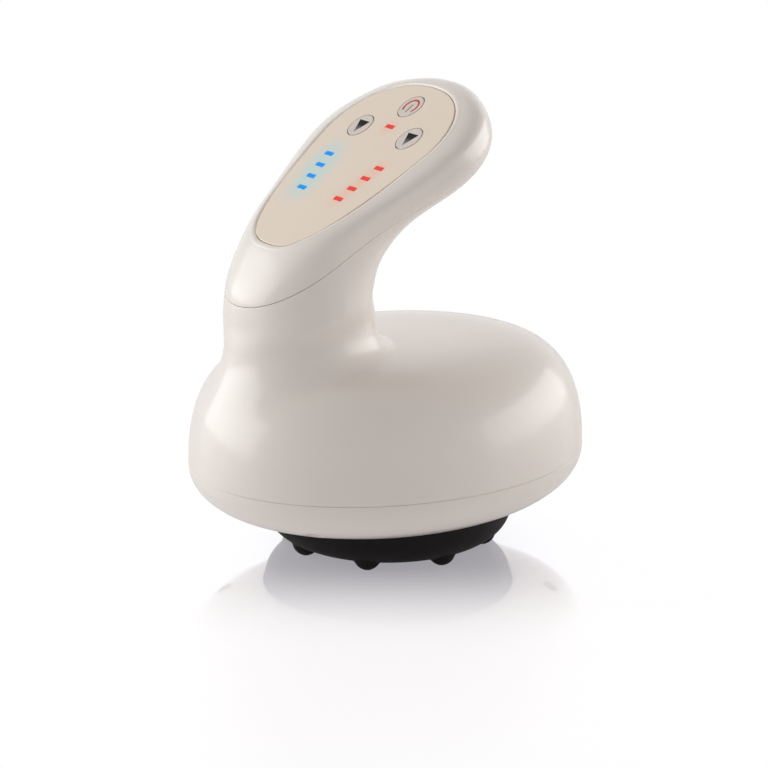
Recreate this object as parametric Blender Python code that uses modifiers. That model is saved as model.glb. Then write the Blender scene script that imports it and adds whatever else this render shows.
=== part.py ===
"""Handheld body massager: an oval housing with a raised handle, a control panel on top of the
handle, and a round nubbed suction head underneath.

Metres, +Z up, +X towards the handle's tip. The origin lies on the floor under the head's axis.
Run it with Blender 4.5: blender --background --python part.py
"""

from math import atan2, cos, pi, radians, sin

import bmesh
import bpy
import numpy as np
from mathutils import Matrix, Vector

GAP = 0.0003
OVERRUN = 0.001
ROUND_STEPS = 18
SMALL_STEPS = 8
NUB_STEPS = 10
SCREW_STEPS = 8

# Housing
BASE_LENGTH = 0.116
BASE_WIDTH = 0.095
BASE_BOTTOM_Z = 0.0105
SEAM_Z = 0.026
DOME_HEIGHT = 0.033
DOME_POWER_SHARES = (5.25, 0.437)
DOME_RING_POWER_SHARE = 2.2
BOWL_FLAT_SHARE = 0.60
BOWL_RING_SHARES = (1, 0.985, 0.94, 0.86, 0.72, 0.50, 0.25, 0)
WALL = 0.0022
SEAM_LIP = 0.0022
RING_POINTS = 32

# Neck and handle, drawn by stations from the neck's foot to the tip
HANDLE_HEIGHT = 0.0715
HANDLE_WIDTH = 0.0636
NECK_LENGTH = 0.0412
NECK_WIDTH = 0.0400
NECK_X_SHARE = -0.49
FILLET_REACH = 0.0070
FILLET_HEIGHT = 0.0090
RIM_LIFT = 0.0005
STATION_STEPS = 1
# Each station: rear x, rear z, front x, front z, half width, share above the widest level,
# roundness above it, roundness below it. x follows half the base, z the rise over the dome.
STATION_SHARES = (
    (-0.832, 0.136, -0.176, 0.256, 0.673, 0.50, 2.1, 2.1),
    (-0.822, 0.246, -0.126, 0.342, 0.650, 0.50, 2.1, 2.1),
    (-0.750, 0.344, -0.059, 0.414, 0.645, 0.48, 2.6, 2.1),
    (-0.624, None, 0.017, 0.477, 0.676, 0.45, 3.5, 2.2),
    (-0.424, None, 0.085, 0.533, 0.788, 0.40, 5.0, 2.3),
    (-0.212, None, 0.147, 0.579, 0.939, 0.36, 5.5, 2.3),
    (0.000, None, 0.204, 0.621, 1.008, 0.36, 5.0, 2.3),
    (0.162, None, 0.274, 0.650, 0.901, 0.40, 4.0, 2.3),
    (0.240, None, 0.336, 0.691, 0.786, 0.45, 3.2, 2.2),
    (0.290, 0.959, 0.387, 0.754, 0.631, 0.48, 2.6, 2.1),
    (0.336, 0.970, 0.429, 0.834, 0.387, 0.50, 2.2, 2.0),
)
TIP_SHARES = (0.422, 0.920)
PANEL_LINE_SHARES = ((-0.62, 0.4545), (0.25, 0.949))
PARTING_LINE_SHARES = ((-0.80, 0.227), (0.49, 0.877))

# Control panel, in its own frame: X up the slope, Y across, Z out of the face
PANEL_LENGTH = 0.064
PANEL_WIDTH = 0.049
PANEL_THICKNESS = 0.0016
PANEL_WIDEST_SHARE = 0.334
PANEL_FRONT_X_SHARE = 0.272
PANEL_FRONT_POWER_SHARE = 2.2
PANEL_REAR_POWER_SHARES = (1.15, 0.347)
OUTLINE_STEPS = 9
LEDGE_WIDTH = 0.0045
LEDGE_THICKNESS = 0.0018
LEDGE_MARGIN = 0.0015
KEY_RADIUS = 0.0043
KEY_PROUD = 0.0006
KEY_CLEARANCE = 0.00025
KEY_FLANGE = 0.0007
KEY_FLANGE_THICKNESS = 0.0010
KEY_DISH = 0.0003
KEY_BOSS_RADIUS = 0.0015
KEY_BOSS_LENGTH = 0.0017
KEY_TRAVEL = 0.0005
# Places on the panel and its board are shares of the panel's length and width
SIDE_KEY_SHARES = (-0.020, 0.245)
POWER_KEY_X_SHARE = 0.144
POWER_LIGHT_X_SHARE = 0.014
LIGHT_WIDTH = 0.0039
LIGHT_LENGTH = 0.0012
LIGHT_BAR_THICKNESS = 0.0010
LIGHT_COUNT = 4
LIGHT_FIRST_SHARES = (-0.208, 0.255)
LIGHT_LAST_SHARES = (-0.4125, 0.188)

# Control board under the panel
BOARD_THICKNESS = 0.0012
BOARD_INSET = 0.0060
BOARD_DEPTH = 0.0084
SWITCH_SIDE = 0.0060
SWITCH_HEIGHT = 0.0025
SWITCH_STEM_RADIUS = 0.0015
SWITCH_STEM_LENGTH = 0.0018
LED_LENGTH = 0.0020
LED_WIDTH = 0.0016
LED_HEIGHT = 0.0008
BOARD_CONNECTOR = (0.0050, 0.0080, 0.0016)
BOARD_CONNECTOR_X_SHARE = -0.453
PANEL_BOSS_RADIUS = 0.0020
PANEL_RIB_WIDTH = 0.0016
BOARD_SCREW_SIDE_SHARES = (-0.125, 0.3265)
BOARD_SCREW_REAR_X_SHARE = -0.586
HANDLE_SCREW_SHARES = (0.031, 0.441)
HANDLE_BOSS_RADIUS = 0.0021
HANDLE_BOSS_DEPTH = 0.0180

# Self-tapping screws
SCREW_RADIUS = 0.0008
SCREW_HEAD_RADIUS = 0.0015
SCREW_HEAD_HEIGHT = 0.0010
SCREW_LENGTH = 0.0040
SCREW_CLEARANCE = 0.0003
CASE_SCREW_RADIUS = 0.0012
CASE_SCREW_HEAD_RADIUS = 0.0022
CASE_SCREW_HEAD_HEIGHT = 0.0014
CASE_SCREW_LENGTH = 0.0080
CASE_BOSS_RADIUS = 0.0028
CASE_SCREW_PLACE_SHARES = (0.672, 0.516)
CASE_SCREW_SEAT = 0.0020

# Massage head: its circles are shares of its radius
HEAD_MARGIN = 0.0106
HEAD_SIDE_Z = 0.0125
HEAD_LIP_SHARE = 0.5556
HEAD_LIP_Z = 0.0012
HEAD_STEPS = 28
CUP_SHARE = 0.4743
CUP_CEILING_Z = 0.0100
CUP_CEILING_SHARE = 0.2981
HEAD_WALL = 0.0024
WELL_FLOOR_Z = 0.0075
WELL_FLOOR_SHARE = 0.7182
WELL_SHARE = 0.8943
NUB_COUNT = 8
NUB_CIRCLE_SHARE = 0.7317
NUB_RADIUS = 0.0038
NUB_FLAT_RADIUS = 0.0012
NUB_TOP_Z = 0.0068
HEAD_BOSS_RADIUS = 0.0028
HEAD_BOSS_CIRCLE_SHARE = 0.8509
HEAD_SCREW_ANGLE = 60
HEAD_SCREW_DEPTH = 0.0060
PORT_RADIUS = 0.0025
PORT_BORE_RADIUS = 0.0015
PORT_HEIGHT = 0.0060
FILTER_SHARE = 0.2114
FILTER_DEPTH = 0.0042
FILTER_CAP_THICKNESS = 0.0016
FILTER_HOLE_RADIUS = 0.0009
FILTER_HOLE_COUNT = 6
HEATER_THICKNESS = 0.0008
THERMISTOR_SIZE = (0.0030, 0.0020, 0.0014)

# Base cover's floor over the head
POCKET_CEILING_Z = 0.0165
FLOOR_THICKNESS = 0.0021
POCKET_WALL = 0.0018
PORT_HOLE_RADIUS = 0.0060
LEAD_HOLE_RADIUS = 0.0016

# Battery in the neck
CELL_RADIUS = 0.00925
CELL_LENGTH = 0.0620
CELL_FORWARD = 0.0012
CELL_CAP_RADIUS = 0.0030
CELL_CAP_HEIGHT = 0.0008
HOLDER_WALL = 0.0012
HOLDER_HEIGHT = 0.0300

# Vacuum pump, its axis along Y
PUMP_X = 0.0160
PUMP_Z = 0.0358
MOTOR_RADIUS = 0.0120
MOTOR_LENGTH = 0.0300
MOTOR_END_Y = -0.0020
MOTOR_COLLAR_RADIUS = 0.0040
MOTOR_COLLAR_LENGTH = 0.0012
SHAFT_RADIUS = 0.0010
SHAFT_LENGTH = 0.0110
ECCENTRIC_RADIUS = 0.0045
ECCENTRIC_OFFSET = 0.0015
ECCENTRIC_LENGTH = 0.0050
PUMP_RADIUS = 0.0132
PUMP_HOUSING_LENGTH = 0.0120
PUMP_WALL = 0.0018
DIAPHRAGM_THICKNESS = 0.0012
DIAPHRAGM_RIM_SHARE = 0.80
PUMP_COVER_LENGTH = 0.0060
NOZZLE_RADIUS = 0.0018
NOZZLE_LENGTH = 0.0045
NOZZLE_OFFSET = 0.0060
CRADLE_LENGTH = 0.0160
CRADLE_SIDE_WIDTH = 0.0095
CRADLE_HEIGHT = 0.0110

# Hoses and release valve
HOSE_RADIUS = 0.0020
HOSE_STEPS = 3
TEE_RADIUS = 0.0034
TEE_TOP_WALL = 0.0020
TEE_ARM_LENGTH = 0.0070
VALVE_SIZE = (0.0110, 0.0160, 0.0100)
VALVE_X = -0.0045
VALVE_MARGIN = 0.0190
PLUNGER_RADIUS = 0.0020
PLUNGER_LENGTH = 0.0120
PLUNGER_PROUD = 0.0020

# Power board and charging socket
POWER_BOARD_WIDTH = 0.0280
POWER_BOARD_THICKNESS = 0.0012
POWER_BOARD_MARGIN = 0.0065
POWER_BOARD_CLEARANCE = 0.0033
POWER_BOARD_Z = 0.0315
POWER_POST_RADIUS = 0.0024
POWER_POST_MARGIN = 0.0050
POWER_POST_Y = 0.0105
SOCKET_SIZE = (0.0080, 0.0090, 0.0032)
SOCKET_WALL = 0.0004
SOCKET_DEPTH = 0.0062
SOCKET_RECESS = 0.0016
CHIP_SIZE = (0.0060, 0.0070, 0.0016)
COIL_SIZE = (0.0050, 0.0050, 0.0030)
CHIP_OFFSET_SHARES = (-0.25, 0.25)
COIL_OFFSET_SHARES = (-0.25, -0.27)

# Inner leads
CABLE_RADIUS = 0.0011
LEAD_RADIUS = 0.0008
LEAD_STEPS = 2

PALE_WHITE = (0.80, 0.76, 0.72)
PEARL = (0.72, 0.66, 0.58)
KEY_GREY = (0.60, 0.55, 0.50)
MATT_BLACK = (0.014, 0.012, 0.013)

HALF_LENGTH = BASE_LENGTH / 2
HALF_WIDTH = BASE_WIDTH / 2
DOME_TOP_Z = SEAM_Z + DOME_HEIGHT
NECK_X = NECK_X_SHARE * HALF_LENGTH
HEAD_RADIUS = HALF_WIDTH - HEAD_MARGIN
HEAD_LIP_RADIUS = HEAD_LIP_SHARE * HEAD_RADIUS
CUP_RADIUS = CUP_SHARE * HEAD_RADIUS
CUP_CEILING_RADIUS = CUP_CEILING_SHARE * HEAD_RADIUS
FILTER_RADIUS = FILTER_SHARE * HEAD_RADIUS
WELL_INNER_RADIUS = HEAD_LIP_RADIUS
WELL_FLOOR_RADIUS = WELL_FLOOR_SHARE * HEAD_RADIUS
WELL_RADIUS = WELL_SHARE * HEAD_RADIUS
NUB_CIRCLE_RADIUS = NUB_CIRCLE_SHARE * HEAD_RADIUS
HEAD_BOSS_CIRCLE = HEAD_BOSS_CIRCLE_SHARE * HEAD_RADIUS
PANEL_FRONT_X = PANEL_FRONT_X_SHARE * PANEL_LENGTH
VALVE_CENTRE = (VALVE_X, VALVE_MARGIN - HALF_WIDTH)
POWER_BOARD_REAR_X = PUMP_X + PUMP_RADIUS + POWER_BOARD_CLEARANCE
POWER_BOARD_FRONT_X = HALF_LENGTH - POWER_BOARD_MARGIN
POWER_BOARD_SIZE = (POWER_BOARD_FRONT_X - POWER_BOARD_REAR_X, POWER_BOARD_WIDTH,
                    POWER_BOARD_THICKNESS)
POWER_BOARD_X = (POWER_BOARD_REAR_X + POWER_BOARD_FRONT_X) / 2
POWER_POST = (POWER_BOARD_FRONT_X - POWER_POST_MARGIN, POWER_POST_Y)
FLOOR_TOP_Z = POCKET_CEILING_Z + FLOOR_THICKNESS
CELL_BOTTOM_Z = FLOOR_TOP_Z + GAP + HOLDER_WALL + GAP
CELL_X = NECK_X + CELL_FORWARD
LEDGE_TOP = -PANEL_THICKNESS - GAP
BOARD_TOP = -BOARD_DEPTH
BOARD_BOTTOM = BOARD_TOP - BOARD_THICKNESS
HEAD_TOP_Z = POCKET_CEILING_Z - GAP
PORT_TOP_Z = FLOOR_TOP_Z + PORT_HEIGHT
TEE_ARM_Z = PORT_TOP_Z + GAP + HOSE_RADIUS + GAP


def clear_scene():
    for found in list(bpy.data.objects):
        bpy.data.objects.remove(found, do_unlink=True)


def new_collection(name, helper=False):
    found = bpy.data.collections.new(name)
    bpy.context.scene.collection.children.link(found)
    found.hide_render = helper
    return found


clear_scene()
MASSAGER = new_collection("body_massage_tool")
CUTTERS = new_collection("cutters", helper=True)


def material(name, colour, roughness=0.5, metallic=0.0):
    """One material per finish, made the first time that its name is asked for."""
    found = bpy.data.materials.get(name)
    if found is None:
        found = bpy.data.materials.new(name)
        found.use_nodes = True
        shader = found.node_tree.nodes["Principled BSDF"]
        shader.inputs["Base Color"].default_value = (*colour, 1)
        shader.inputs["Roughness"].default_value = roughness
        shader.inputs["Metallic"].default_value = metallic
        found.diffuse_color = (*colour, 1)
    return found


def gloss_white():
    return material("gloss_white", PALE_WHITE, 0.18)


def black_silicone():
    return material("black_silicone", MATT_BLACK, 0.55)


def circuit_green():
    return material("circuit_board", (0.02, 0.16, 0.07), 0.45)


def dark_plastic():
    return material("dark_plastic", (0.03, 0.03, 0.035), 0.5)


def steel():
    return material("steel", (0.55, 0.55, 0.57), 0.3, 1.0)


def clear_silicone():
    return material("clear_silicone", (0.75, 0.78, 0.78), 0.3)


def finish(obj, look, smooth_angle=35):
    """Gives an object its material and smooth shading, or hides it when it is only a helper."""
    if look is None:
        CUTTERS.objects.link(obj)
        obj.hide_render = True
        obj.display_type = "WIRE"
        return obj
    MASSAGER.objects.link(obj)
    if obj.data.materials:
        obj.data.materials[0] = look
    else:
        obj.data.materials.append(look)
    if obj.type == "MESH":
        obj.data.shade_smooth()
        obj.data.set_sharp_from_angle(angle=radians(smooth_angle))
    return obj


def mesh_object(name, shape, look, frame=None, place=(0, 0, 0)):
    """An object from a bmesh, placed in the world or in an empty's frame."""
    bmesh.ops.recalc_face_normals(shape, faces=shape.faces)
    mesh = bpy.data.meshes.new(name)
    shape.to_mesh(mesh)
    shape.free()
    obj = bpy.data.objects.new(name, mesh)
    obj.location = place
    obj.parent = frame
    return finish(obj, look)


def box(name, size, place, look=None, frame=None):
    shape = bmesh.new()
    bmesh.ops.create_cube(shape, size=1, matrix=Matrix.Diagonal((*size, 1)))
    return mesh_object(name, shape, look, frame, place)


def cylinder(name, radius, low, high, place, look=None, frame=None, axis="Z", steps=SMALL_STEPS):
    """A round bar whose ends lie at low and high along its axis, measured from its place."""
    turn = {"X": Matrix.Rotation(pi / 2, 4, "Y"), "Y": Matrix.Rotation(-pi / 2, 4, "X")}
    shape = bmesh.new()
    middle = Matrix.Translation((0, 0, (low + high) / 2))
    bmesh.ops.create_cone(shape, cap_ends=True, segments=steps, radius1=radius, radius2=radius,
                          depth=high - low, matrix=turn.get(axis, Matrix()) @ middle)
    return mesh_object(name, shape, look, frame, place)


def plate(name, outline, low, high, look=None, frame=None, place=(0, 0, 0)):
    """A flat piece with this outline, from low to high along Z."""
    shape = bmesh.new()
    face = shape.faces.new([shape.verts.new((x, y, low)) for x, y in outline])
    grown = bmesh.ops.extrude_face_region(shape, geom=[face])["geom"]
    moved = [item for item in grown if isinstance(item, bmesh.types.BMVert)]
    bmesh.ops.translate(shape, verts=moved, vec=(0, 0, high - low))
    return mesh_object(name, shape, look, frame, place)


def turned(name, profile, look=None, frame=None, place=(0, 0, 0), axis="Z", steps=ROUND_STEPS,
           closed=False):
    """A profile of (radius, height) points turned about its axis, its outer side first, top down."""
    mesh = bpy.data.meshes.new(name)
    edges = [(i, i + 1) for i in range(len(profile) - 1)]
    if closed:
        edges.append((len(profile) - 1, 0))
    mesh.from_pydata([(radius, 0, height) for radius, height in profile], edges, [])
    obj = bpy.data.objects.new(name, mesh)
    spin = obj.modifiers.new("turn", "SCREW")
    spin.steps = steps
    spin.render_steps = steps
    spin.use_merge_vertices = True
    spin.merge_threshold = 0.00001
    spin.use_smooth_shade = True
    obj.location = place
    obj.parent = frame
    if axis == "Y":
        obj.rotation_euler = (-pi / 2, 0, 0)
    return finish(obj, look)


def boolean(target, other, operation):
    change = target.modifiers.new(other.name, "BOOLEAN")
    change.operation = operation
    change.object = other
    change.solver = "EXACT"
    return target


def cut(target, *others):
    for other in others:
        boolean(target, other, "DIFFERENCE")
    return target


def join(target, *others):
    for other in others:
        boolean(target, other, "UNION")
    return target


def smooth_route(points, steps=LEAD_STEPS):
    """A Catmull-Rom curve through a route's own points, straight along its first and last run."""
    knots = [Vector(point) for point in points]
    route = [knots[0]]
    for before, start, end, after in zip(knots, knots[1:], knots[2:], knots[3:]):
        for step in range(steps):
            t = step / steps
            route.append(0.5 * (2 * start + (end - before) * t
                                + (2 * before - 5 * start + 4 * end - after) * t**2
                                + (3 * start - before - 3 * end + after) * t**3))
    return [*route, knots[-2], knots[-1]]


def tube(name, points, radius, look, steps=LEAD_STEPS):
    """A wire or hose along a smooth route, as a curve with round ends closed flat."""
    route = smooth_route(points, steps)
    curve = bpy.data.curves.new(name, "CURVE")
    curve.dimensions = "3D"
    curve.bevel_depth = radius
    curve.bevel_resolution = 2
    curve.use_fill_caps = True
    spline = curve.splines.new("POLY")
    spline.points.add(len(route) - 1)
    for spot, place in zip(spline.points, route):
        spot.co = (*place, 1)
    return finish(bpy.data.objects.new(name, curve), look)


def screw(name, place, look, radius, head_radius, head_height, length, frame=None, up=1):
    """A screw whose head rests on its place, with its pointed shank up or down along Z."""
    profile = [(0, -GAP - head_height), (head_radius, -GAP - head_height), (head_radius, -GAP),
               (radius, -GAP), (radius, length - radius), (0, length)]
    if up < 0:
        profile = [(reach, -height) for reach, height in profile]
    else:
        profile = profile[::-1]
    return turned(name, profile, look, frame, place, steps=SCREW_STEPS)


def natural_curve(rows, steps):
    """Rows between the given ones, on a natural cubic spline through each column."""
    rows = np.array(rows, float)
    count = len(rows)
    system = np.eye(count)
    right = np.zeros_like(rows)
    for i in range(1, count - 1):
        system[i, i - 1:i + 2] = (1, 4, 1)
        right[i] = 6 * (rows[i - 1] - 2 * rows[i] + rows[i + 1])
    bend = np.linalg.solve(system, right)
    spots = np.linspace(0, count - 1, (count - 1) * steps + 1)
    low = np.minimum(spots.astype(int), count - 2)
    b = (spots - low)[:, None]
    a = 1 - b
    return (a * rows[low] + b * rows[low + 1]
            + ((a**3 - a) * bend[low] + (b**3 - b) * bend[low + 1]) / 6)


def line_height(shares, x_share):
    """Height on a straight line of the side view, at a share of half the base's length."""
    (x0, z0), (x1, z1) = shares
    share = z0 + (z1 - z0) * (x_share - x0) / (x1 - x0)
    return DOME_TOP_Z + HANDLE_HEIGHT * share


def line_tilt(shares):
    (x0, z0), (x1, z1) = shares
    return atan2(HANDLE_HEIGHT * (z1 - z0), HALF_LENGTH * (x1 - x0))


PANEL_TILT = line_tilt(PANEL_LINE_SHARES)
PARTING_TILT = line_tilt(PARTING_LINE_SHARES)
ANGLES = 2 * pi * np.arange(RING_POINTS) / RING_POINTS


def signed_power(values, power):
    return np.sign(values) * np.abs(values) ** power


def station_rows():
    """The side view's stations in metres, those on the panel lifted to its rim."""
    rows = []
    for rear_x, rear_z, front_x, front_z, width, above, top, under in STATION_SHARES:
        x = rear_x * HALF_LENGTH
        if rear_z is None:
            z = line_height(PANEL_LINE_SHARES, rear_x) + RIM_LIFT / cos(PANEL_TILT)
        else:
            z = DOME_TOP_Z + rear_z * HANDLE_HEIGHT
        rows.append((x, z, front_x * HALF_LENGTH, DOME_TOP_Z + front_z * HANDLE_HEIGHT,
                     width * HANDLE_WIDTH / 2, above, top, under))
    return rows


def handle_ring(rear_x, rear_z, front_x, front_z, width, above, top, under):
    """One section across the handle: a rounded form between its rear or top and its underside."""
    across, round_about = np.cos(ANGLES), np.sin(ANGLES)
    upper = across < 0
    power = np.where(upper, top, under)
    reach = signed_power(across, 2 / power)
    side = signed_power(round_about, 2 / power)
    along = above + np.where(upper, reach * above, reach * (1 - above))
    return np.stack([rear_x + along * (front_x - rear_x), side * width,
                     rear_z + along * (front_z - rear_z)], axis=1)


def handle_rings(steps):
    return np.array([handle_ring(*row) for row in natural_curve(station_rows(), steps)])


def dome_height(x, y):
    """The dome's height over a point of the plan, and the seam's at and beyond its rim."""
    power, lift = DOME_POWER_SHARES
    share = np.minimum(np.hypot(x / HALF_LENGTH, y / HALF_WIDTH), 1)
    return SEAM_Z + DOME_HEIGHT * (1 - share**power) ** lift


def dome_rings(fillet_steps=3, dome_steps=6):
    """Rings from the seam, over the dome and up the fillet to the neck."""
    neck = np.stack([NECK_X + NECK_LENGTH / 2 * np.cos(ANGLES), NECK_WIDTH / 2 * np.sin(ANGLES)], 1)
    rim = np.stack([HALF_LENGTH * np.cos(ANGLES), HALF_WIDTH * np.sin(ANGLES)], axis=1)
    reach = np.linalg.norm(rim - neck, axis=1)[:, None]
    foot = FILLET_REACH / reach
    rings = []
    for step in range(dome_steps):
        left = (step / dome_steps) ** DOME_RING_POWER_SHARE
        spot = rim + (neck - rim) * left * (1 - foot)
        rings.append((spot, 0))
    for step in range(fillet_steps + 1):
        angle = pi / 2 * (1 - step / fillet_steps)
        spot = neck + (rim - neck) * foot * (1 - cos(angle))
        rings.append((spot, FILLET_HEIGHT * (1 - sin(angle))))
    return np.array([np.column_stack([spot, dome_height(*spot.T) + lift]) for spot, lift in rings])


def tip_point():
    return (TIP_SHARES[0] * HALF_LENGTH, 0, DOME_TOP_Z + TIP_SHARES[1] * HANDLE_HEIGHT)


def body_rings(steps=STATION_STEPS):
    """The whole outer form: dome, fillet, neck and handle, from the seam to the tip."""
    return np.concatenate([dome_rings(), handle_rings(steps)])


def inset_rings(rings, depth):
    """The rings moved inwards along the surface's normals."""
    around = np.roll(rings, -1, axis=1) - np.roll(rings, 1, axis=1)
    along = np.gradient(rings, axis=0)
    normal = np.cross(around, along)
    normal /= np.linalg.norm(normal, axis=2)[:, :, None]
    moved = rings - depth * normal
    moved[0, :, 2] = rings[0, :, 2]
    return moved


def loft(name, rings, tip, look=None, closed=False):
    """A surface through rings of points that ends in one point, closed below when asked."""
    shape = bmesh.new()
    rows = [[shape.verts.new(point) for point in ring] for ring in rings]
    end = shape.verts.new(tip)
    for low, high in zip(rows, rows[1:]):
        for i in range(len(low)):
            shape.faces.new((low[i - 1], low[i], high[i], high[i - 1]))
    for i in range(len(rows[-1])):
        shape.faces.new((rows[-1][i - 1], rows[-1][i], end))
    if closed:
        shape.faces.new(rows[0])
        bmesh.ops.recalc_face_normals(shape, faces=shape.faces)
    mesh = bpy.data.meshes.new(name)
    shape.to_mesh(mesh)
    shape.free()
    return finish(bpy.data.objects.new(name, mesh), look)


def shelled(obj):
    wall = obj.modifiers.new("wall", "SOLIDIFY")
    wall.thickness = WALL
    wall.offset = -1
    return obj


def side_cutter(name, shares, tilt, above, clearance):
    """A block that takes everything above or below a straight line of the side view."""
    size = BASE_LENGTH * 2
    spot = Vector((0, 0, line_height(shares, 0)))
    out = Vector((-sin(tilt), 0, cos(tilt))) * (1 if above else -1)
    cutter = box(name, (size, size, size), spot + out * (size / 2 + clearance))
    cutter.rotation_euler = (0, -tilt, 0)
    return cutter


def teardrop(inset=0.0):
    """The control panel's outline: a rounded front and a long tapering rear, moved in by inset."""
    half = PANEL_WIDTH / 2
    front = PANEL_WIDEST_SHARE * PANEL_LENGTH
    rear = PANEL_LENGTH - front
    middle = PANEL_FRONT_X - front
    quarter = np.linspace(0, pi / 2, OUTLINE_STEPS + 1)
    power = 2 / PANEL_FRONT_POWER_SHARE
    nose = np.column_stack([middle + front * np.cos(quarter) ** power, half * np.sin(quarter) ** power])
    back, lift = PANEL_REAR_POWER_SHARES
    taper = np.sin(quarter)[1:]
    tail = np.column_stack([middle - rear * taper, half * np.maximum(1 - taper**back, 0) ** lift])
    side = np.concatenate([nose, tail])
    outline = np.concatenate([side, side[-2:0:-1] * (1, -1)])
    along = np.roll(outline, -1, axis=0) - np.roll(outline, 1, axis=0)
    normal = np.column_stack([along[:, 1], -along[:, 0]])
    normal /= np.linalg.norm(normal, axis=1)[:, None]
    return outline - inset * normal


def panel_frame():
    """The frame of everything that sits square to the control panel."""
    frame = bpy.data.objects.new("panel_frame", None)
    frame.location = (0, 0, line_height(PANEL_LINE_SHARES, 0))
    frame.rotation_euler = (0, -PANEL_TILT, 0)
    MASSAGER.objects.link(frame)
    return frame


def case_screw_places():
    x_share, y_share = CASE_SCREW_PLACE_SHARES
    return [(x_share * HALF_LENGTH * sx, y_share * HALF_WIDTH * sy)
            for sx in (1, -1) for sy in (1, -1)]


def head_screw_places():
    return [(HEAD_BOSS_CIRCLE * cos(angle), HEAD_BOSS_CIRCLE * sin(angle))
            for angle in (radians(HEAD_SCREW_ANGLE) + pi / 2 * i for i in range(4))]


def panel_place(shares):
    return shares[0] * PANEL_LENGTH, shares[1] * PANEL_WIDTH


def board_screw_places():
    x, y = panel_place(BOARD_SCREW_SIDE_SHARES)
    return [(x, y), (x, -y), (BOARD_SCREW_REAR_X_SHARE * PANEL_LENGTH, 0)]


def handle_screw_places():
    x, y = panel_place(HANDLE_SCREW_SHARES)
    return [(x, y), (x, -y)]


def light_places():
    """The row of light windows on the positive side of the panel."""
    (x0, y0), (x1, y1) = panel_place(LIGHT_FIRST_SHARES), panel_place(LIGHT_LAST_SHARES)
    shares = [i / (LIGHT_COUNT - 1) for i in range(LIGHT_COUNT)]
    return [(x0 + (x1 - x0) * share, y0 + (y1 - y0) * share) for share in shares]


KEYS = {
    "power": panel_place((POWER_KEY_X_SHARE, 0)),
    "suction": panel_place(SIDE_KEY_SHARES),
    "heat": panel_place((SIDE_KEY_SHARES[0], -SIDE_KEY_SHARES[1])),
}
POWER_LIGHT_X = POWER_LIGHT_X_SHARE * PANEL_LENGTH
BOARD_CONNECTOR_X = BOARD_CONNECTOR_X_SHARE * PANEL_LENGTH


def bowl_height(x, y):
    """The base cover's outer height over a point of the plan."""
    share = np.hypot(x / HALF_LENGTH, y / HALF_WIDTH)
    run = np.clip((share - BOWL_FLAT_SHARE) / (1 - BOWL_FLAT_SHARE), 0, 1)
    return BASE_BOTTOM_Z + (SEAM_Z - BASE_BOTTOM_Z) * (1 - np.sqrt(1 - run**2))


def post_foot(x, y, radius):
    """The lowest level of a post that stays inside the base cover's wall all round."""
    far = np.hypot(x, y)
    return float(bowl_height(x * (1 + radius / far), y * (1 + radius / far))) + GAP


def make_body_shell(frame, core):
    """Dome, neck and the handle's underside, with bosses for the two covers."""
    rings = body_rings()
    skirt = rings[:1] - (0, 0, OVERRUN)
    shell = shelled(loft("body_shell", np.concatenate([skirt, rings]), tip_point(), gloss_white()))
    cut(shell, side_cutter("above_parting", PARTING_LINE_SHARES, PARTING_TILT, True, -GAP / 2))
    below = box("below_seam", (BASE_LENGTH * 2, BASE_WIDTH * 2, OVERRUN * 2),
                (0, 0, SEAM_Z + GAP / 2 - OVERRUN))
    cut(shell, below)
    boss_low = SEAM_Z - SEAM_LIP
    for i, (x, y) in enumerate(case_screw_places()):
        boss = cylinder(f"case_boss_{i}", CASE_BOSS_RADIUS, boss_low, DOME_TOP_Z, (x, y, 0))
        boolean(boss, core, "INTERSECT")
        join(shell, boss)
        cut(shell, cylinder(f"case_pilot_{i}", CASE_SCREW_RADIUS + SCREW_CLEARANCE,
                            boss_low - OVERRUN, boss_low + CASE_SCREW_LENGTH, (x, y, 0)))
    for i, (x, y) in enumerate(handle_screw_places()):
        top = LEDGE_TOP - LEDGE_THICKNESS - GAP
        boss = cylinder(f"handle_boss_{i}", HANDLE_BOSS_RADIUS, -HANDLE_BOSS_DEPTH, top,
                        (x, y, 0), frame=frame)
        boolean(boss, core, "INTERSECT")
        join(shell, boss)
        cut(shell, cylinder(f"handle_pilot_{i}", SCREW_RADIUS + SCREW_CLEARANCE,
                            top - SCREW_LENGTH, top + OVERRUN, (x, y, 0), frame=frame))
    socket_z = POWER_BOARD_Z + POWER_BOARD_SIZE[2] + GAP + SOCKET_SIZE[2] / 2
    slot = box("socket_slot", (SOCKET_SIZE[0], SOCKET_SIZE[1] + GAP * 2, SOCKET_SIZE[2] + GAP * 2),
               (HALF_LENGTH, 0, socket_z))
    return cut(shell, slot)


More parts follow.
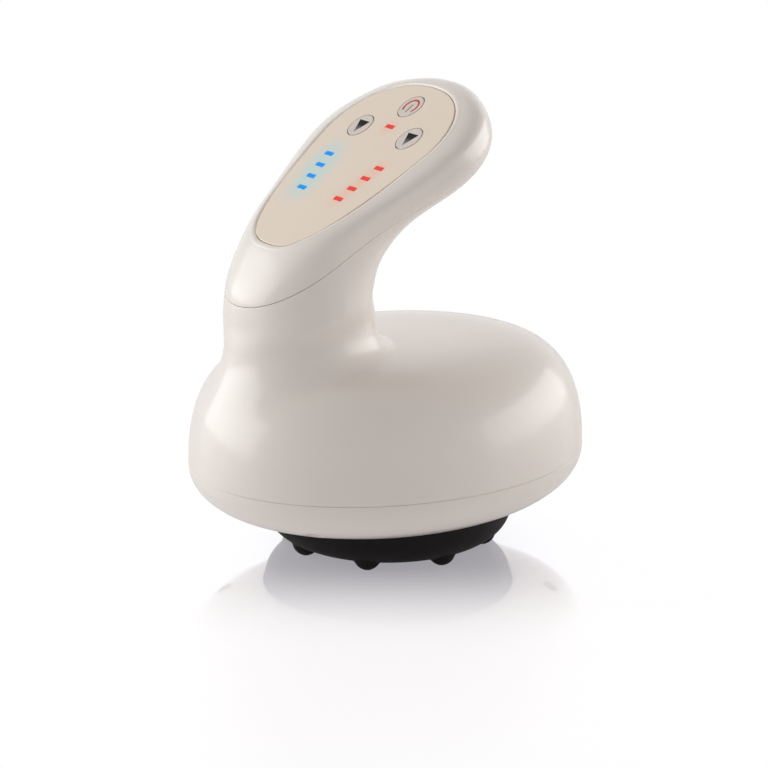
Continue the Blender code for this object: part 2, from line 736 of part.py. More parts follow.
def make_handle_cover(frame, core):
    """The handle's top half, with the panel's recess, its ledge and the board's bosses."""
    rings = handle_rings(STATION_STEPS)
    cover = shelled(loft("handle_cover", rings, tip_point(), gloss_white()))
    cut(cover, side_cutter("below_parting", PARTING_LINE_SHARES, PARTING_TILT, False, -GAP / 2))
    ledge = plate("ledge", teardrop(-LEDGE_MARGIN), LEDGE_TOP - LEDGE_THICKNESS,
                  LEDGE_TOP + OVERRUN / 2, frame=frame)
    boolean(ledge, core, "INTERSECT")
    join(cover, ledge)
    cut(cover, plate("recess", teardrop(-GAP), LEDGE_TOP, RIM_LIFT + OVERRUN * 2, frame=frame))
    cut(cover, plate("window", teardrop(LEDGE_WIDTH), LEDGE_TOP - LEDGE_THICKNESS - OVERRUN,
                     OVERRUN, frame=frame))
    for name, (x, y) in KEYS.items():
        cut(cover, cylinder(name + "_relief", KEY_RADIUS + KEY_FLANGE + GAP,
                            LEDGE_TOP - LEDGE_THICKNESS - OVERRUN, OVERRUN, (x, y, 0), frame=frame,
                            steps=ROUND_STEPS))
    boss_low = BOARD_TOP + GAP
    for i, (x, y) in enumerate(board_screw_places()):
        boss = cylinder(f"board_boss_{i}", PANEL_BOSS_RADIUS, boss_low, LEDGE_TOP - GAP, (x, y, 0),
                        frame=frame)
        join(boss, board_rib(i, x, y, boss_low + GAP, frame))
        cut(boss, cylinder(f"board_pilot_{i}", SCREW_RADIUS + SCREW_CLEARANCE,
                           boss_low - OVERRUN, boss_low + SCREW_LENGTH, (x, y, 0), frame=frame))
        join(cover, boss)
    for i, (x, y) in enumerate(handle_screw_places()):
        cut(cover, cylinder(f"cover_hole_{i}", SCREW_RADIUS + SCREW_CLEARANCE,
                            LEDGE_TOP - LEDGE_THICKNESS - OVERRUN, OVERRUN, (x, y, 0), frame=frame))
        cut(cover, cylinder(f"cover_sink_{i}", SCREW_HEAD_RADIUS + SCREW_CLEARANCE,
                            LEDGE_TOP - SCREW_HEAD_HEIGHT - GAP, OVERRUN, (x, y, 0), frame=frame))
    return cover


def board_rib(index, x, y, low, frame):
    """A web from a board boss out to the ledge that carries it."""
    outline = teardrop(LEDGE_WIDTH - LEDGE_MARGIN)
    high = LEDGE_TOP - GAP * 2
    if y:
        side = outline[outline[:, 1] * y > 0]
        edge = side[np.argmin(np.abs(side[:, 0] - x)), 1]
        return box(f"board_rib_{index}", (PANEL_RIB_WIDTH, abs(edge - y), high - low),
                   (x, (y + edge) / 2, (high + low) / 2), frame=frame)
    edge = outline[:, 0].min()
    return box(f"board_rib_{index}", (abs(edge - x), PANEL_RIB_WIDTH, high - low),
               ((x + edge) / 2, 0, (high + low) / 2), frame=frame)


def base_cover_rings():
    """The base cover's section, ring by ring: outside from the rim to the head's opening, up the
    pocket's wall, over the floor, and back to the rim along the inside."""
    rim = np.stack([HALF_LENGTH * np.cos(ANGLES), HALF_WIDTH * np.sin(ANGLES)], axis=1)
    circle = np.stack([np.cos(ANGLES), np.sin(ANGLES)], axis=1)
    opening = circle * (HEAD_RADIUS + GAP)
    rows = []
    for left in BOWL_RING_SHARES:
        spot = opening + (rim - opening) * left
        rows.append(np.column_stack([spot, np.minimum(bowl_height(*spot.T), SEAM_Z - GAP / 2)]))
    outer = np.array(rows)

    def level(plan, z):
        return np.column_stack([plan, np.full(RING_POINTS, z)])

    pocket = HEAD_RADIUS + GAP
    rows.append(level(circle * pocket, POCKET_CEILING_Z))
    rows.append(level(circle * PORT_HOLE_RADIUS, POCKET_CEILING_Z))
    rows.append(level(circle * PORT_HOLE_RADIUS, FLOOR_TOP_Z))
    rows.append(level(circle * (pocket + POCKET_WALL), FLOOR_TOP_Z))
    for ring in (5, 4, 3):
        left = BOWL_RING_SHARES[ring]
        plan = outer[ring, :, :2]
        room = np.linalg.norm(plan, axis=1)
        least = (pocket + POCKET_WALL + GAP) / room
        plan = plan * np.maximum((room - WALL * left) / room, least)[:, None]
        height = np.maximum(bowl_height(*plan.T) + WALL, outer[ring, :, 2] + WALL * (1 - left / 2))
        rows.append(np.column_stack([plan, height]))
    inner = rim * (1 - WALL / np.linalg.norm(rim, axis=1))[:, None]
    seat = inner * (1 - GAP / np.linalg.norm(inner, axis=1))[:, None]
    lip = seat * (1 - WALL / 2 / np.linalg.norm(seat, axis=1))[:, None]
    rows.append(level(lip, SEAM_Z - WALL))
    rows.append(level(lip, SEAM_Z + SEAM_LIP))
    rows.append(level(seat, SEAM_Z + SEAM_LIP))
    rows.append(level(seat, SEAM_Z - GAP / 2))
    return rows


def ring_solid(name, rows, look):
    """A closed solid through rings that come back to the first one."""
    shape = bmesh.new()
    rings = [[shape.verts.new(point) for point in ring] for ring in rows]
    for low, high in zip(rings, rings[1:] + rings[:1]):
        for i in range(len(low)):
            shape.faces.new((low[i - 1], low[i], high[i], high[i - 1]))
    return mesh_object(name, shape, look)


def make_base_cover():
    """The shallow bowl under the seam, with the head's round pocket and the screw seats."""
    cover = ring_solid("base_cover", base_cover_rings(), gloss_white())
    top = SEAM_Z - SEAM_LIP - GAP
    for i, (x, y) in enumerate(case_screw_places()):
        low = post_foot(x, y, CASE_BOSS_RADIUS)
        join(cover, cylinder(f"base_boss_{i}", CASE_BOSS_RADIUS, low, top, (x, y, 0)))
        seat = top - CASE_SCREW_SEAT
        cut(cover, cylinder(f"base_sink_{i}", CASE_SCREW_HEAD_RADIUS + SCREW_CLEARANCE,
                            -OVERRUN, seat, (x, y, 0)))
        cut(cover, cylinder(f"base_hole_{i}", CASE_SCREW_RADIUS + SCREW_CLEARANCE,
                            seat - OVERRUN, top + OVERRUN, (x, y, 0)))
    for i, (x, y) in enumerate(head_screw_places()):
        cut(cover, cylinder(f"floor_hole_{i}", SCREW_RADIUS + SCREW_CLEARANCE,
                            POCKET_CEILING_Z - OVERRUN, FLOOR_TOP_Z + OVERRUN, (x, y, 0)))
    for i, side in enumerate((1, -1)):
        x, y = POWER_POST[0], POWER_POST[1] * side
        low = post_foot(x, y, POWER_POST_RADIUS)
        join(cover, cylinder(f"power_post_{i}", POWER_POST_RADIUS, low, POWER_BOARD_Z - GAP,
                             (x, y, 0)))
        cut(cover, cylinder(f"power_pilot_{i}", SCREW_RADIUS + SCREW_CLEARANCE,
                            POWER_BOARD_Z - SCREW_LENGTH, POWER_BOARD_Z + OVERRUN, (x, y, 0)))
    return cut(cover, cylinder("lead_hole", LEAD_HOLE_RADIUS, POCKET_CEILING_Z - OVERRUN,
                               FLOOR_TOP_Z + OVERRUN, (heater_middle(), 0, 0)))


def heater_middle():
    return (WELL_INNER_RADIUS + WELL_FLOOR_RADIUS) / 2


def make_head():
    """The black head: a bowl with a suction cup in its middle, eight nubs and a port on top."""
    drop = HEAD_SIDE_Z - HEAD_LIP_Z
    swell = HEAD_RADIUS - HEAD_LIP_RADIUS
    outer = [(HEAD_LIP_RADIUS + swell * cos(angle), HEAD_SIDE_Z - drop * sin(angle))
             for angle in (pi / 2 * i / 5 for i in range(6))]
    rise = CUP_CEILING_Z - HEAD_LIP_Z
    cup = [(CUP_CEILING_RADIUS + (CUP_RADIUS - CUP_CEILING_RADIUS) * cos(angle),
            HEAD_LIP_Z + rise * sin(angle)) for angle in (pi / 2 * i / 3 for i in range(4))]
    roof = CUP_CEILING_Z + FILTER_DEPTH
    hub = FILTER_RADIUS + GAP
    profile = [
        (PORT_BORE_RADIUS, PORT_TOP_Z), (PORT_RADIUS, PORT_TOP_Z), (PORT_RADIUS, HEAD_TOP_Z),
        (hub + HEAD_WALL, HEAD_TOP_Z), (hub + HEAD_WALL, CUP_CEILING_Z + HEAD_WALL),
        (CUP_CEILING_RADIUS + HEAD_WALL, CUP_CEILING_Z + HEAD_WALL),
        (WELL_INNER_RADIUS, WELL_FLOOR_Z), (WELL_FLOOR_RADIUS, WELL_FLOOR_Z),
        (WELL_RADIUS, HEAD_SIDE_Z + HEAD_WALL / 2), (WELL_RADIUS, HEAD_TOP_Z),
        (HEAD_RADIUS, HEAD_TOP_Z), *outer, *cup, (hub, CUP_CEILING_Z), (hub, roof),
        (PORT_BORE_RADIUS, roof),
    ]
    head = turned("massage_head", profile, black_silicone(), steps=HEAD_STEPS, closed=True)
    for i in range(NUB_COUNT):
        angle = 2 * pi * i / NUB_COUNT
        spot = (NUB_CIRCLE_RADIUS * cos(angle), NUB_CIRCLE_RADIUS * sin(angle), 0)
        join(head, turned(f"nub_{i}", nub_profile(), place=spot, steps=NUB_STEPS))
    for i, (x, y) in enumerate(head_screw_places()):
        join(head, cylinder(f"head_boss_{i}", HEAD_BOSS_RADIUS, HEAD_SIDE_Z - HEAD_WALL * 2,
                            HEAD_TOP_Z, (x, y, 0)))
        cut(head, cylinder(f"head_pilot_{i}", SCREW_RADIUS + SCREW_CLEARANCE,
                           HEAD_TOP_Z - HEAD_SCREW_DEPTH, HEAD_TOP_Z + OVERRUN, (x, y, 0)))
    return head


def nub_profile(steps=3):
    """A round-ended pin with a small flat where it meets the skin."""
    start = np.arccos(NUB_FLAT_RADIUS / NUB_RADIUS)
    angles = [start * (steps - i) / steps for i in range(steps + 1)][::-1]
    arc = [(NUB_RADIUS * cos(a), NUB_RADIUS * (sin(start) - sin(a))) for a in angles]
    return [(0, NUB_TOP_Z), (NUB_RADIUS, NUB_TOP_Z), *arc, (0, 0)]


def make_head_insides():
    """Filter, seals, heater and thermistor."""
    cap_top = CUP_CEILING_Z + FILTER_CAP_THICKNESS
    cap = cylinder("filter_cap", FILTER_RADIUS, CUP_CEILING_Z, cap_top, (0, 0, 0), black_silicone(),
                   steps=ROUND_STEPS)
    for i in range(FILTER_HOLE_COUNT):
        angle = 2 * pi * i / FILTER_HOLE_COUNT
        spot = (FILTER_RADIUS / 2 * cos(angle), FILTER_RADIUS / 2 * sin(angle), 0)
        cut(cap, cylinder(f"filter_hole_{i}", FILTER_HOLE_RADIUS, CUP_CEILING_Z - OVERRUN,
                          cap_top + OVERRUN, spot))
    cylinder("filter_foam", FILTER_RADIUS, cap_top + GAP, CUP_CEILING_Z + FILTER_DEPTH - GAP,
             (0, 0, 0), material("foam", (0.35, 0.35, 0.36), 0.9), steps=ROUND_STEPS)
    ring("port_seal", PORT_RADIUS + GAP, PORT_HOLE_RADIUS - GAP, HEAD_TOP_Z + GAP, FLOOR_TOP_Z,
         clear_silicone())
    ring("heater_ring", WELL_INNER_RADIUS + GAP, WELL_FLOOR_RADIUS - GAP, WELL_FLOOR_Z + GAP,
         WELL_FLOOR_Z + GAP + HEATER_THICKNESS, material("heater_film", (0.45, 0.20, 0.05), 0.4, 0.6))
    top = WELL_FLOOR_Z + GAP + HEATER_THICKNESS + GAP
    box("thermistor", THERMISTOR_SIZE, (-heater_middle(), 0, top + THERMISTOR_SIZE[2] / 2),
        dark_plastic())


def ring(name, inner, outer, low, high, look, steps=ROUND_STEPS):
    """A flat ring about the Z axis."""
    profile = [(inner, high), (outer, high), (outer, low), (inner, low)]
    return turned(name, profile, look, steps=steps, closed=True)


def make_panel(frame):
    """The teardrop plate with its key holes and light windows."""
    panel = plate("control_panel", teardrop(), -PANEL_THICKNESS, 0,
                  material("pearl_panel", PEARL, 0.12), frame)
    for name, (x, y) in KEYS.items():
        cut(panel, cylinder(name + "_hole", KEY_RADIUS + KEY_CLEARANCE, -PANEL_THICKNESS - OVERRUN,
                            OVERRUN, (x, y, 0), frame=frame, steps=ROUND_STEPS))
    spots = [(x, y * side) for x, y in light_places() for side in (1, -1)]
    for i, (x, y) in enumerate([*spots, (POWER_LIGHT_X, 0)]):
        size = (LIGHT_LENGTH + GAP * 2, LIGHT_WIDTH + GAP * 2, PANEL_THICKNESS + OVERRUN * 2)
        cut(panel, box(f"light_slot_{i}", size, (x, y, -PANEL_THICKNESS / 2), frame=frame))
    return panel


def make_key(name, place, frame):
    """One key: a dished cap with a flange under the panel and a boss over its switch."""
    flange_top = LEDGE_TOP
    flange_low = flange_top - KEY_FLANGE_THICKNESS
    profile = [
        (0, KEY_PROUD - KEY_DISH), (KEY_RADIUS / 2, KEY_PROUD - KEY_DISH / 2),
        (KEY_RADIUS - KEY_DISH, KEY_PROUD), (KEY_RADIUS, KEY_PROUD - KEY_DISH),
        (KEY_RADIUS, flange_top), (KEY_RADIUS + KEY_FLANGE, flange_top),
        (KEY_RADIUS + KEY_FLANGE, flange_low), (KEY_BOSS_RADIUS, flange_low),
        (KEY_BOSS_RADIUS, flange_low - KEY_BOSS_LENGTH), (0, flange_low - KEY_BOSS_LENGTH),
    ]
    return turned(name + "_key", profile, material("key_grey", KEY_GREY, 0.25), frame,
                  (*place, 0), steps=ROUND_STEPS)


def make_switch(name, place, frame):
    """The small switch under a key, and the stem that goes down into it."""
    low = BOARD_TOP + GAP
    high = low + SWITCH_HEIGHT
    body = box(name + "_switch", (SWITCH_SIDE, SWITCH_SIDE, SWITCH_HEIGHT),
               (*place, (low + high) / 2), dark_plastic(), frame)
    stem_top = LEDGE_TOP - KEY_FLANGE_THICKNESS - KEY_BOSS_LENGTH - GAP
    stem_low = stem_top - SWITCH_STEM_LENGTH
    well = cylinder(name + "_well", SWITCH_STEM_RADIUS + GAP, stem_low - KEY_TRAVEL - GAP,
                    high + OVERRUN, (*place, 0), frame=frame)
    cut(body, well)
    cylinder(name + "_switch_stem", SWITCH_STEM_RADIUS, stem_low, stem_top, (*place, 0),
             material("stem_white", (0.7, 0.7, 0.68), 0.4), frame)


def light_guide(name, places, look, frame):
    """Clear posts that carry light from the board to the panel's face, joined by a bar below it."""
    low = BOARD_TOP + LED_HEIGHT + GAP
    posts = [box(f"{name}_post_{i}", (LIGHT_LENGTH, LIGHT_WIDTH, -low), (x, y, low / 2), frame=frame)
             for i, (x, y) in enumerate(places)]
    (x0, y0), (x1, y1) = places[0], places[-1]
    end, side = LIGHT_LENGTH, (LIGHT_WIDTH - OVERRUN) / 2
    outline = [(x0 + end, y0 - side), (x0 + end, y0 + side), (x1 - end, y1 + side), (x1 - end, y1 - side)]
    bar = plate(name, outline, LEDGE_TOP - LIGHT_BAR_THICKNESS, LEDGE_TOP, look, frame)
    return join(bar, *posts)


def make_lights(frame):
    row = light_places()
    light_guide("suction_light_guide", row, material("blue_light", (0.05, 0.35, 0.80), 0.2), frame)
    light_guide("heat_light_guide", [(x, -y) for x, y in row],
                material("red_light", (0.75, 0.10, 0.06), 0.2), frame)
    light_guide("power_light_guide", [(POWER_LIGHT_X, 0)],
                material("red_light", (0.75, 0.10, 0.06), 0.2), frame)


def make_control_board(frame):
    """The board under the panel, with its light packages and the cable's connector."""
    board = plate("control_board", teardrop(BOARD_INSET), BOARD_BOTTOM, BOARD_TOP, circuit_green(),
                  frame)
    spots = [(x, y * side) for x, y in light_places() for side in (1, -1)]
    for i, (x, y) in enumerate([*spots, (POWER_LIGHT_X, 0)]):
        height = LED_HEIGHT + OVERRUN / 2
        join(board, box(f"led_{i}", (LED_WIDTH, LED_LENGTH, height),
                        (x, y, BOARD_TOP + LED_HEIGHT - height / 2), frame=frame))
    length, width, height = BOARD_CONNECTOR
    join(board, box("panel_connector", (length, width, height + OVERRUN / 2),
                    (BOARD_CONNECTOR_X, 0, BOARD_BOTTOM - height / 2 + OVERRUN / 4), frame=frame))
    for i, (x, y) in enumerate(board_screw_places()):
        cut(board, cylinder(f"board_hole_{i}", SCREW_RADIUS + SCREW_CLEARANCE,
                            BOARD_BOTTOM - OVERRUN, BOARD_TOP + OVERRUN, (x, y, 0), frame=frame))
    return board


def make_screws(frame):
    small = (SCREW_RADIUS, SCREW_HEAD_RADIUS, SCREW_HEAD_HEIGHT, SCREW_LENGTH)
    for i, (x, y) in enumerate(handle_screw_places()):
        screw(f"handle_screw_{i + 1}", (x, y, LEDGE_TOP - SCREW_HEAD_HEIGHT - GAP), steel(), *small,
              frame=frame, up=-1)
    for i, (x, y) in enumerate(board_screw_places()):
        screw(f"board_screw_{i + 1}", (x, y, BOARD_BOTTOM), steel(), *small, frame=frame)
    for i, (x, y) in enumerate(head_screw_places()):
        screw(f"head_screw_{i + 1}", (x, y, FLOOR_TOP_Z), steel(), *small, up=-1)
    for i, side in enumerate((1, -1)):
        spot = (POWER_POST[0], POWER_POST[1] * side, POWER_BOARD_Z + POWER_BOARD_SIZE[2])
        screw(f"power_board_screw_{i + 1}", spot, steel(), *small, up=-1)
    seat = SEAM_Z - SEAM_LIP - GAP - CASE_SCREW_SEAT
    for i, (x, y) in enumerate(case_screw_places()):
        screw(f"case_screw_{i + 1}", (x, y, seat), steel(), CASE_SCREW_RADIUS,
              CASE_SCREW_HEAD_RADIUS, CASE_SCREW_HEAD_HEIGHT, CASE_SCREW_LENGTH)


def make_battery():
    """A round cell that stands in the neck, in an open holder on the base cover's floor."""
    top = CELL_BOTTOM_Z + CELL_LENGTH
    turned("battery_cell", [(0, top + CELL_CAP_HEIGHT), (CELL_CAP_RADIUS, top + CELL_CAP_HEIGHT),
                            (CELL_CAP_RADIUS, top), (CELL_RADIUS, top), (CELL_RADIUS, CELL_BOTTOM_Z),
                            (0, CELL_BOTTOM_Z)],
           material("cell_wrap", (0.05, 0.18, 0.35), 0.35), place=(CELL_X, 0, 0))
    low = FLOOR_TOP_Z + GAP
    inner = CELL_RADIUS + GAP
    outer = inner + HOLDER_WALL
    holder = turned("battery_holder", [(inner, low + HOLDER_HEIGHT), (outer, low + HOLDER_HEIGHT),
                                       (outer, low), (0, low), (0, low + HOLDER_WALL),
                                       (inner, low + HOLDER_WALL), (inner, low + HOLDER_HEIGHT)],
                    dark_plastic(), place=(CELL_X, 0, 0))
    gap = box("holder_gap", (CELL_RADIUS * 2, CELL_RADIUS, HOLDER_HEIGHT),
              (CELL_X - CELL_RADIUS * 2, 0, low + HOLDER_WALL * 2 + HOLDER_HEIGHT / 2))
    return cut(holder, gap)


def pump_part(name, profile, look, closed=False, steps=ROUND_STEPS):
    """A turned piece of the pump: heights run along +Y from the motor's end face."""
    return turned(name, profile, look, place=(PUMP_X, MOTOR_END_Y, PUMP_Z), axis="Y", steps=steps,
                  closed=closed)


def make_pump():
    """Motor, shaft, eccentric, housing, diaphragm and cover, all on one axis."""
    bore = SHAFT_RADIUS + GAP
    pump_part("pump_motor", [
        (bore, MOTOR_COLLAR_LENGTH), (MOTOR_COLLAR_RADIUS, MOTOR_COLLAR_LENGTH),
        (MOTOR_COLLAR_RADIUS, 0), (MOTOR_RADIUS, 0), (MOTOR_RADIUS, -MOTOR_LENGTH),
        (0, -MOTOR_LENGTH), (0, -SHAFT_LENGTH / 2), (bore, -SHAFT_LENGTH / 2),
        (bore, MOTOR_COLLAR_LENGTH)], steel())
    housing_low = GAP
    housing_high = housing_low + PUMP_HOUSING_LENGTH
    eccentric_low = MOTOR_COLLAR_LENGTH + GAP + PUMP_WALL
    shaft_high = eccentric_low + ECCENTRIC_LENGTH - GAP
    pump_part("motor_shaft", [(0, shaft_high), (SHAFT_RADIUS, shaft_high),
                              (SHAFT_RADIUS, GAP - SHAFT_LENGTH / 2), (0, GAP - SHAFT_LENGTH / 2)],
              steel(), steps=SMALL_STEPS)
    eccentric = cylinder("pump_eccentric", ECCENTRIC_RADIUS, eccentric_low,
                         eccentric_low + ECCENTRIC_LENGTH, (PUMP_X, MOTOR_END_Y, PUMP_Z),
                         material("nylon", (0.62, 0.62, 0.58), 0.45), axis="Y", steps=ROUND_STEPS)
    for spot in eccentric.data.vertices:
        spot.co.z += ECCENTRIC_OFFSET
    cut(eccentric, cylinder("eccentric_bore", bore, eccentric_low - OVERRUN, shaft_high + GAP,
                            (PUMP_X, MOTOR_END_Y, PUMP_Z), axis="Y"))
    chamber = PUMP_RADIUS - PUMP_WALL
    collar = MOTOR_COLLAR_RADIUS + GAP
    pump_part("pump_housing", [
        (chamber, housing_high), (PUMP_RADIUS, housing_high), (PUMP_RADIUS, housing_low),
        (collar, housing_low), (collar, housing_low + PUMP_WALL), (chamber, housing_low + PUMP_WALL)],
              dark_plastic(), closed=True)
    skin_low = housing_high + GAP
    skin_high = skin_low + DIAPHRAGM_THICKNESS
    swell = DIAPHRAGM_THICKNESS / 2
    pump_part("pump_diaphragm", [(0, skin_high - swell), (chamber / 2, skin_high - swell),
                                 (chamber * DIAPHRAGM_RIM_SHARE, skin_high), (PUMP_RADIUS, skin_high),
                                 (PUMP_RADIUS, skin_low), (chamber * DIAPHRAGM_RIM_SHARE, skin_low),
                                 (chamber / 2, skin_low - swell), (0, skin_low - swell)],
              black_silicone())
    cover_low = skin_high + GAP
    cover_high = cover_low + PUMP_COVER_LENGTH
    cover = pump_part("pump_cover", [(0, cover_high), (PUMP_RADIUS - PUMP_WALL, cover_high),
                                     (PUMP_RADIUS, cover_high - PUMP_WALL), (PUMP_RADIUS, cover_low),
                                     (0, cover_low)], dark_plastic())
    for i, side in enumerate((1, -1)):
        join(cover, cylinder(f"nozzle_{i}", NOZZLE_RADIUS, cover_high - OVERRUN,
                             cover_high + NOZZLE_LENGTH,
                             (PUMP_X, MOTOR_END_Y, PUMP_Z + NOZZLE_OFFSET * side), axis="Y"))
    make_cradle()
    return MOTOR_END_Y + cover_high + NOZZLE_LENGTH


def make_cradle():
    """The saddle that carries the motor on the base cover's floor."""
    low = FLOOR_TOP_Z + GAP
    middle = MOTOR_END_Y - MOTOR_LENGTH / 2
    near = PUMP_X - CRADLE_SIDE_WIDTH
    far = max(x for x, y in head_screw_places()) - SCREW_HEAD_RADIUS - SCREW_CLEARANCE
    cradle = box("pump_cradle", (far - near, CRADLE_LENGTH, CRADLE_HEIGHT),
                 ((near + far) / 2, middle, low + CRADLE_HEIGHT / 2), dark_plastic())
    hollow = cylinder("cradle_hollow", MOTOR_RADIUS + GAP, -CRADLE_LENGTH, CRADLE_LENGTH,
                      (PUMP_X, middle, PUMP_Z), axis="Y", steps=ROUND_STEPS)
    return cut(cradle, hollow)


def make_valve():
    """The release valve: a block with a nozzle and a plunger that slides out along -Y."""
    length, width, height = VALVE_SIZE
    x, y = VALVE_CENTRE
    z = FLOOR_TOP_Z + GAP + height / 2
    valve = box("valve_body", VALVE_SIZE, (x, y, z), dark_plastic())
    join(valve, cylinder("valve_nozzle", NOZZLE_RADIUS, width / 2 - OVERRUN,
                         width / 2 + NOZZLE_LENGTH / 2, (x, y, z), axis="Y"))
    cut(valve, cylinder("plunger_bore", PLUNGER_RADIUS + GAP, -width / 2 - OVERRUN,
                        -width / 2 + PLUNGER_LENGTH - PLUNGER_PROUD + GAP, (x, y, z), axis="Y"))
    turned("valve_plunger", [(0, PLUNGER_LENGTH), (PLUNGER_RADIUS, PLUNGER_LENGTH),
                             (PLUNGER_RADIUS, 0), (0, 0)], steel(),
           place=(x, y - width / 2 - PLUNGER_PROUD, z), axis="Y", steps=SMALL_STEPS)
    return (x, y + width / 2 + NOZZLE_LENGTH / 2, z)


def make_tee():
    """The tee on the head's port, with an arm to the pump and one to the valve."""
    low = FLOOR_TOP_Z + GAP
    top = TEE_ARM_Z + HOSE_RADIUS + TEE_TOP_WALL
    inner = PORT_RADIUS + GAP
    tee = turned("hose_tee", [(0, top), (TEE_RADIUS, top), (TEE_RADIUS, low), (inner, low),
                              (inner, PORT_TOP_Z + GAP), (0, PORT_TOP_Z + GAP)], dark_plastic(),
                 steps=SMALL_STEPS)
    arms = cylinder("tee_arms", NOZZLE_RADIUS, -TEE_ARM_LENGTH, TEE_ARM_LENGTH, (0, 0, TEE_ARM_Z),
                    axis="Y")
    return join(tee, arms)


def make_hoses(nozzle_y, valve_nozzle):
    start = TEE_ARM_LENGTH + GAP
    end_z = PUMP_Z + NOZZLE_OFFSET
    end_y = nozzle_y + GAP
    turn = HOSE_RADIUS * 3
    tube("pump_hose", [(0, start, TEE_ARM_Z), (0, start + turn, TEE_ARM_Z),
                       (0, end_y - turn, TEE_ARM_Z + turn), (0, end_y + turn, end_z - HOSE_RADIUS),
                       (PUMP_X / 2, end_y + turn * 3 / 2, end_z), (PUMP_X, end_y + turn, end_z),
                       (PUMP_X, end_y, end_z)], HOSE_RADIUS, clear_silicone(), HOSE_STEPS)
    x, y, z = valve_nozzle
    tube("valve_hose", [(0, -start, TEE_ARM_Z), (0, -start - HOSE_RADIUS, TEE_ARM_Z),
                        (x, y + GAP + HOSE_RADIUS, z), (x, y + GAP, z)], HOSE_RADIUS,
         clear_silicone(), HOSE_STEPS)


def make_power_board():
    """The power board on its two posts, with the charging socket at its outer edge."""
    length, width, thickness = POWER_BOARD_SIZE
    middle = POWER_BOARD_Z + thickness / 2
    top = POWER_BOARD_Z + thickness
    board = box("power_board", POWER_BOARD_SIZE, (POWER_BOARD_X, 0, middle), circuit_green())
    pieces = (("chip", CHIP_SIZE, CHIP_OFFSET_SHARES), ("coil", COIL_SIZE, COIL_OFFSET_SHARES))
    for name, size, (dx, dy) in pieces:
        height = size[2] + thickness / 2
        spot = (POWER_BOARD_X + dx * length, dy * width, top + size[2] - height / 2)
        join(board, box(name, (size[0], size[1], height), spot))
    for i, side in enumerate((1, -1)):
        cut(board, cylinder(f"power_hole_{i}", SCREW_RADIUS + SCREW_CLEARANCE,
                            POWER_BOARD_Z - OVERRUN, top + OVERRUN,
                            (POWER_POST[0], POWER_POST[1] * side, 0)))
    front = HALF_LENGTH - SOCKET_RECESS
    low = top + GAP
    socket = box("charging_socket", SOCKET_SIZE,
                 (front - SOCKET_SIZE[0] / 2, 0, low + SOCKET_SIZE[2] / 2), steel())
    hollow = box("socket_hollow", (SOCKET_DEPTH * 2, SOCKET_SIZE[1] - SOCKET_WALL * 2,
                                   SOCKET_SIZE[2] - SOCKET_WALL * 2),
                 (front, 0, low + SOCKET_SIZE[2] / 2))
    return cut(socket, hollow)


def make_leads():
    """The cable up the neck to the control board, and the battery's and the heater's leads."""
    look = material("lead_red", (0.45, 0.03, 0.02), 0.4)
    length, width, thickness = POWER_BOARD_SIZE
    rear = POWER_BOARD_X - length / 2
    over = PUMP_Z + PUMP_RADIUS + CABLE_RADIUS * 2
    front = CELL_X + CELL_RADIUS + GAP + HOLDER_WALL + CABLE_RADIUS * 2
    depth = BOARD_BOTTOM - BOARD_CONNECTOR[2] - GAP
    end_x = BOARD_CONNECTOR_X * cos(PANEL_TILT) - depth * sin(PANEL_TILT)
    end_z = (line_height(PANEL_LINE_SHARES, 0) + BOARD_CONNECTOR_X * sin(PANEL_TILT)
             + depth * cos(PANEL_TILT))
    board_top = POWER_BOARD_Z + thickness + GAP
    tube("panel_cable", [(rear + CABLE_RADIUS * 2, 0, board_top),
                         (rear + CABLE_RADIUS, 0, board_top + CABLE_RADIUS * 4),
                         (rear - CABLE_RADIUS * 4, 0, over), (PUMP_X, 0, over), (0, 0, over),
                         (front, 0, over + FILLET_HEIGHT), (front, 0, end_z - FILLET_HEIGHT),
                         (end_x, 0, end_z)], CABLE_RADIUS, dark_plastic())
    low = FLOOR_TOP_Z + GAP + LEAD_RADIUS
    side = PORT_HOLE_RADIUS * 2
    holder = CELL_X + CELL_RADIUS + GAP * 2 + HOLDER_WALL
    tube("battery_lead", [(holder, 0, low), (holder + LEAD_RADIUS * 2, 0, low),
                          (0, side, low), (PUMP_X, side, low), (rear, side, low),
                          (rear + LEAD_RADIUS * 3, side, low + LEAD_RADIUS * 5),
                          (rear + LEAD_RADIUS * 3, side, POWER_BOARD_Z - GAP)], LEAD_RADIUS, look)
    spot = heater_middle()
    start = WELL_FLOOR_Z + GAP + HEATER_THICKNESS + GAP
    tube("heater_lead", [(spot, 0, start), (spot, 0, FLOOR_TOP_Z),
                         (spot + LEAD_RADIUS * 2, 0, low + GAP), (rear, 0, low + LEAD_RADIUS * 2),
                         (rear + LEAD_RADIUS * 4, 0, low + LEAD_RADIUS * 6),
                         (rear + LEAD_RADIUS * 4, 0, POWER_BOARD_Z - GAP)], LEAD_RADIUS, look)


def main():
    frame = panel_frame()
    rings = body_rings()
    core_rings = inset_rings(rings, WALL / 2)
    floor = core_rings[:1] - (0, 0, SEAM_LIP + OVERRUN)
    tilt_out = Vector((-sin(PANEL_TILT), 0, cos(PANEL_TILT)))
    core = loft("core", np.concatenate([floor, core_rings]),
                Vector(tip_point()) - tilt_out * WALL / 2, closed=True)
    make_body_shell(frame, core)
    make_handle_cover(frame, core)
    make_base_cover()
    make_panel(frame)
    for name, place in KEYS.items():
        make_key(name, place, frame)
        make_switch(name, place, frame)
    make_lights(frame)
    make_control_board(frame)
    make_head()
    make_head_insides()
    make_battery()
    nozzle_y = make_pump()
    make_tee()
    make_hoses(nozzle_y, make_valve())
    make_power_board()
    make_leads()
    make_screws(frame)


main()
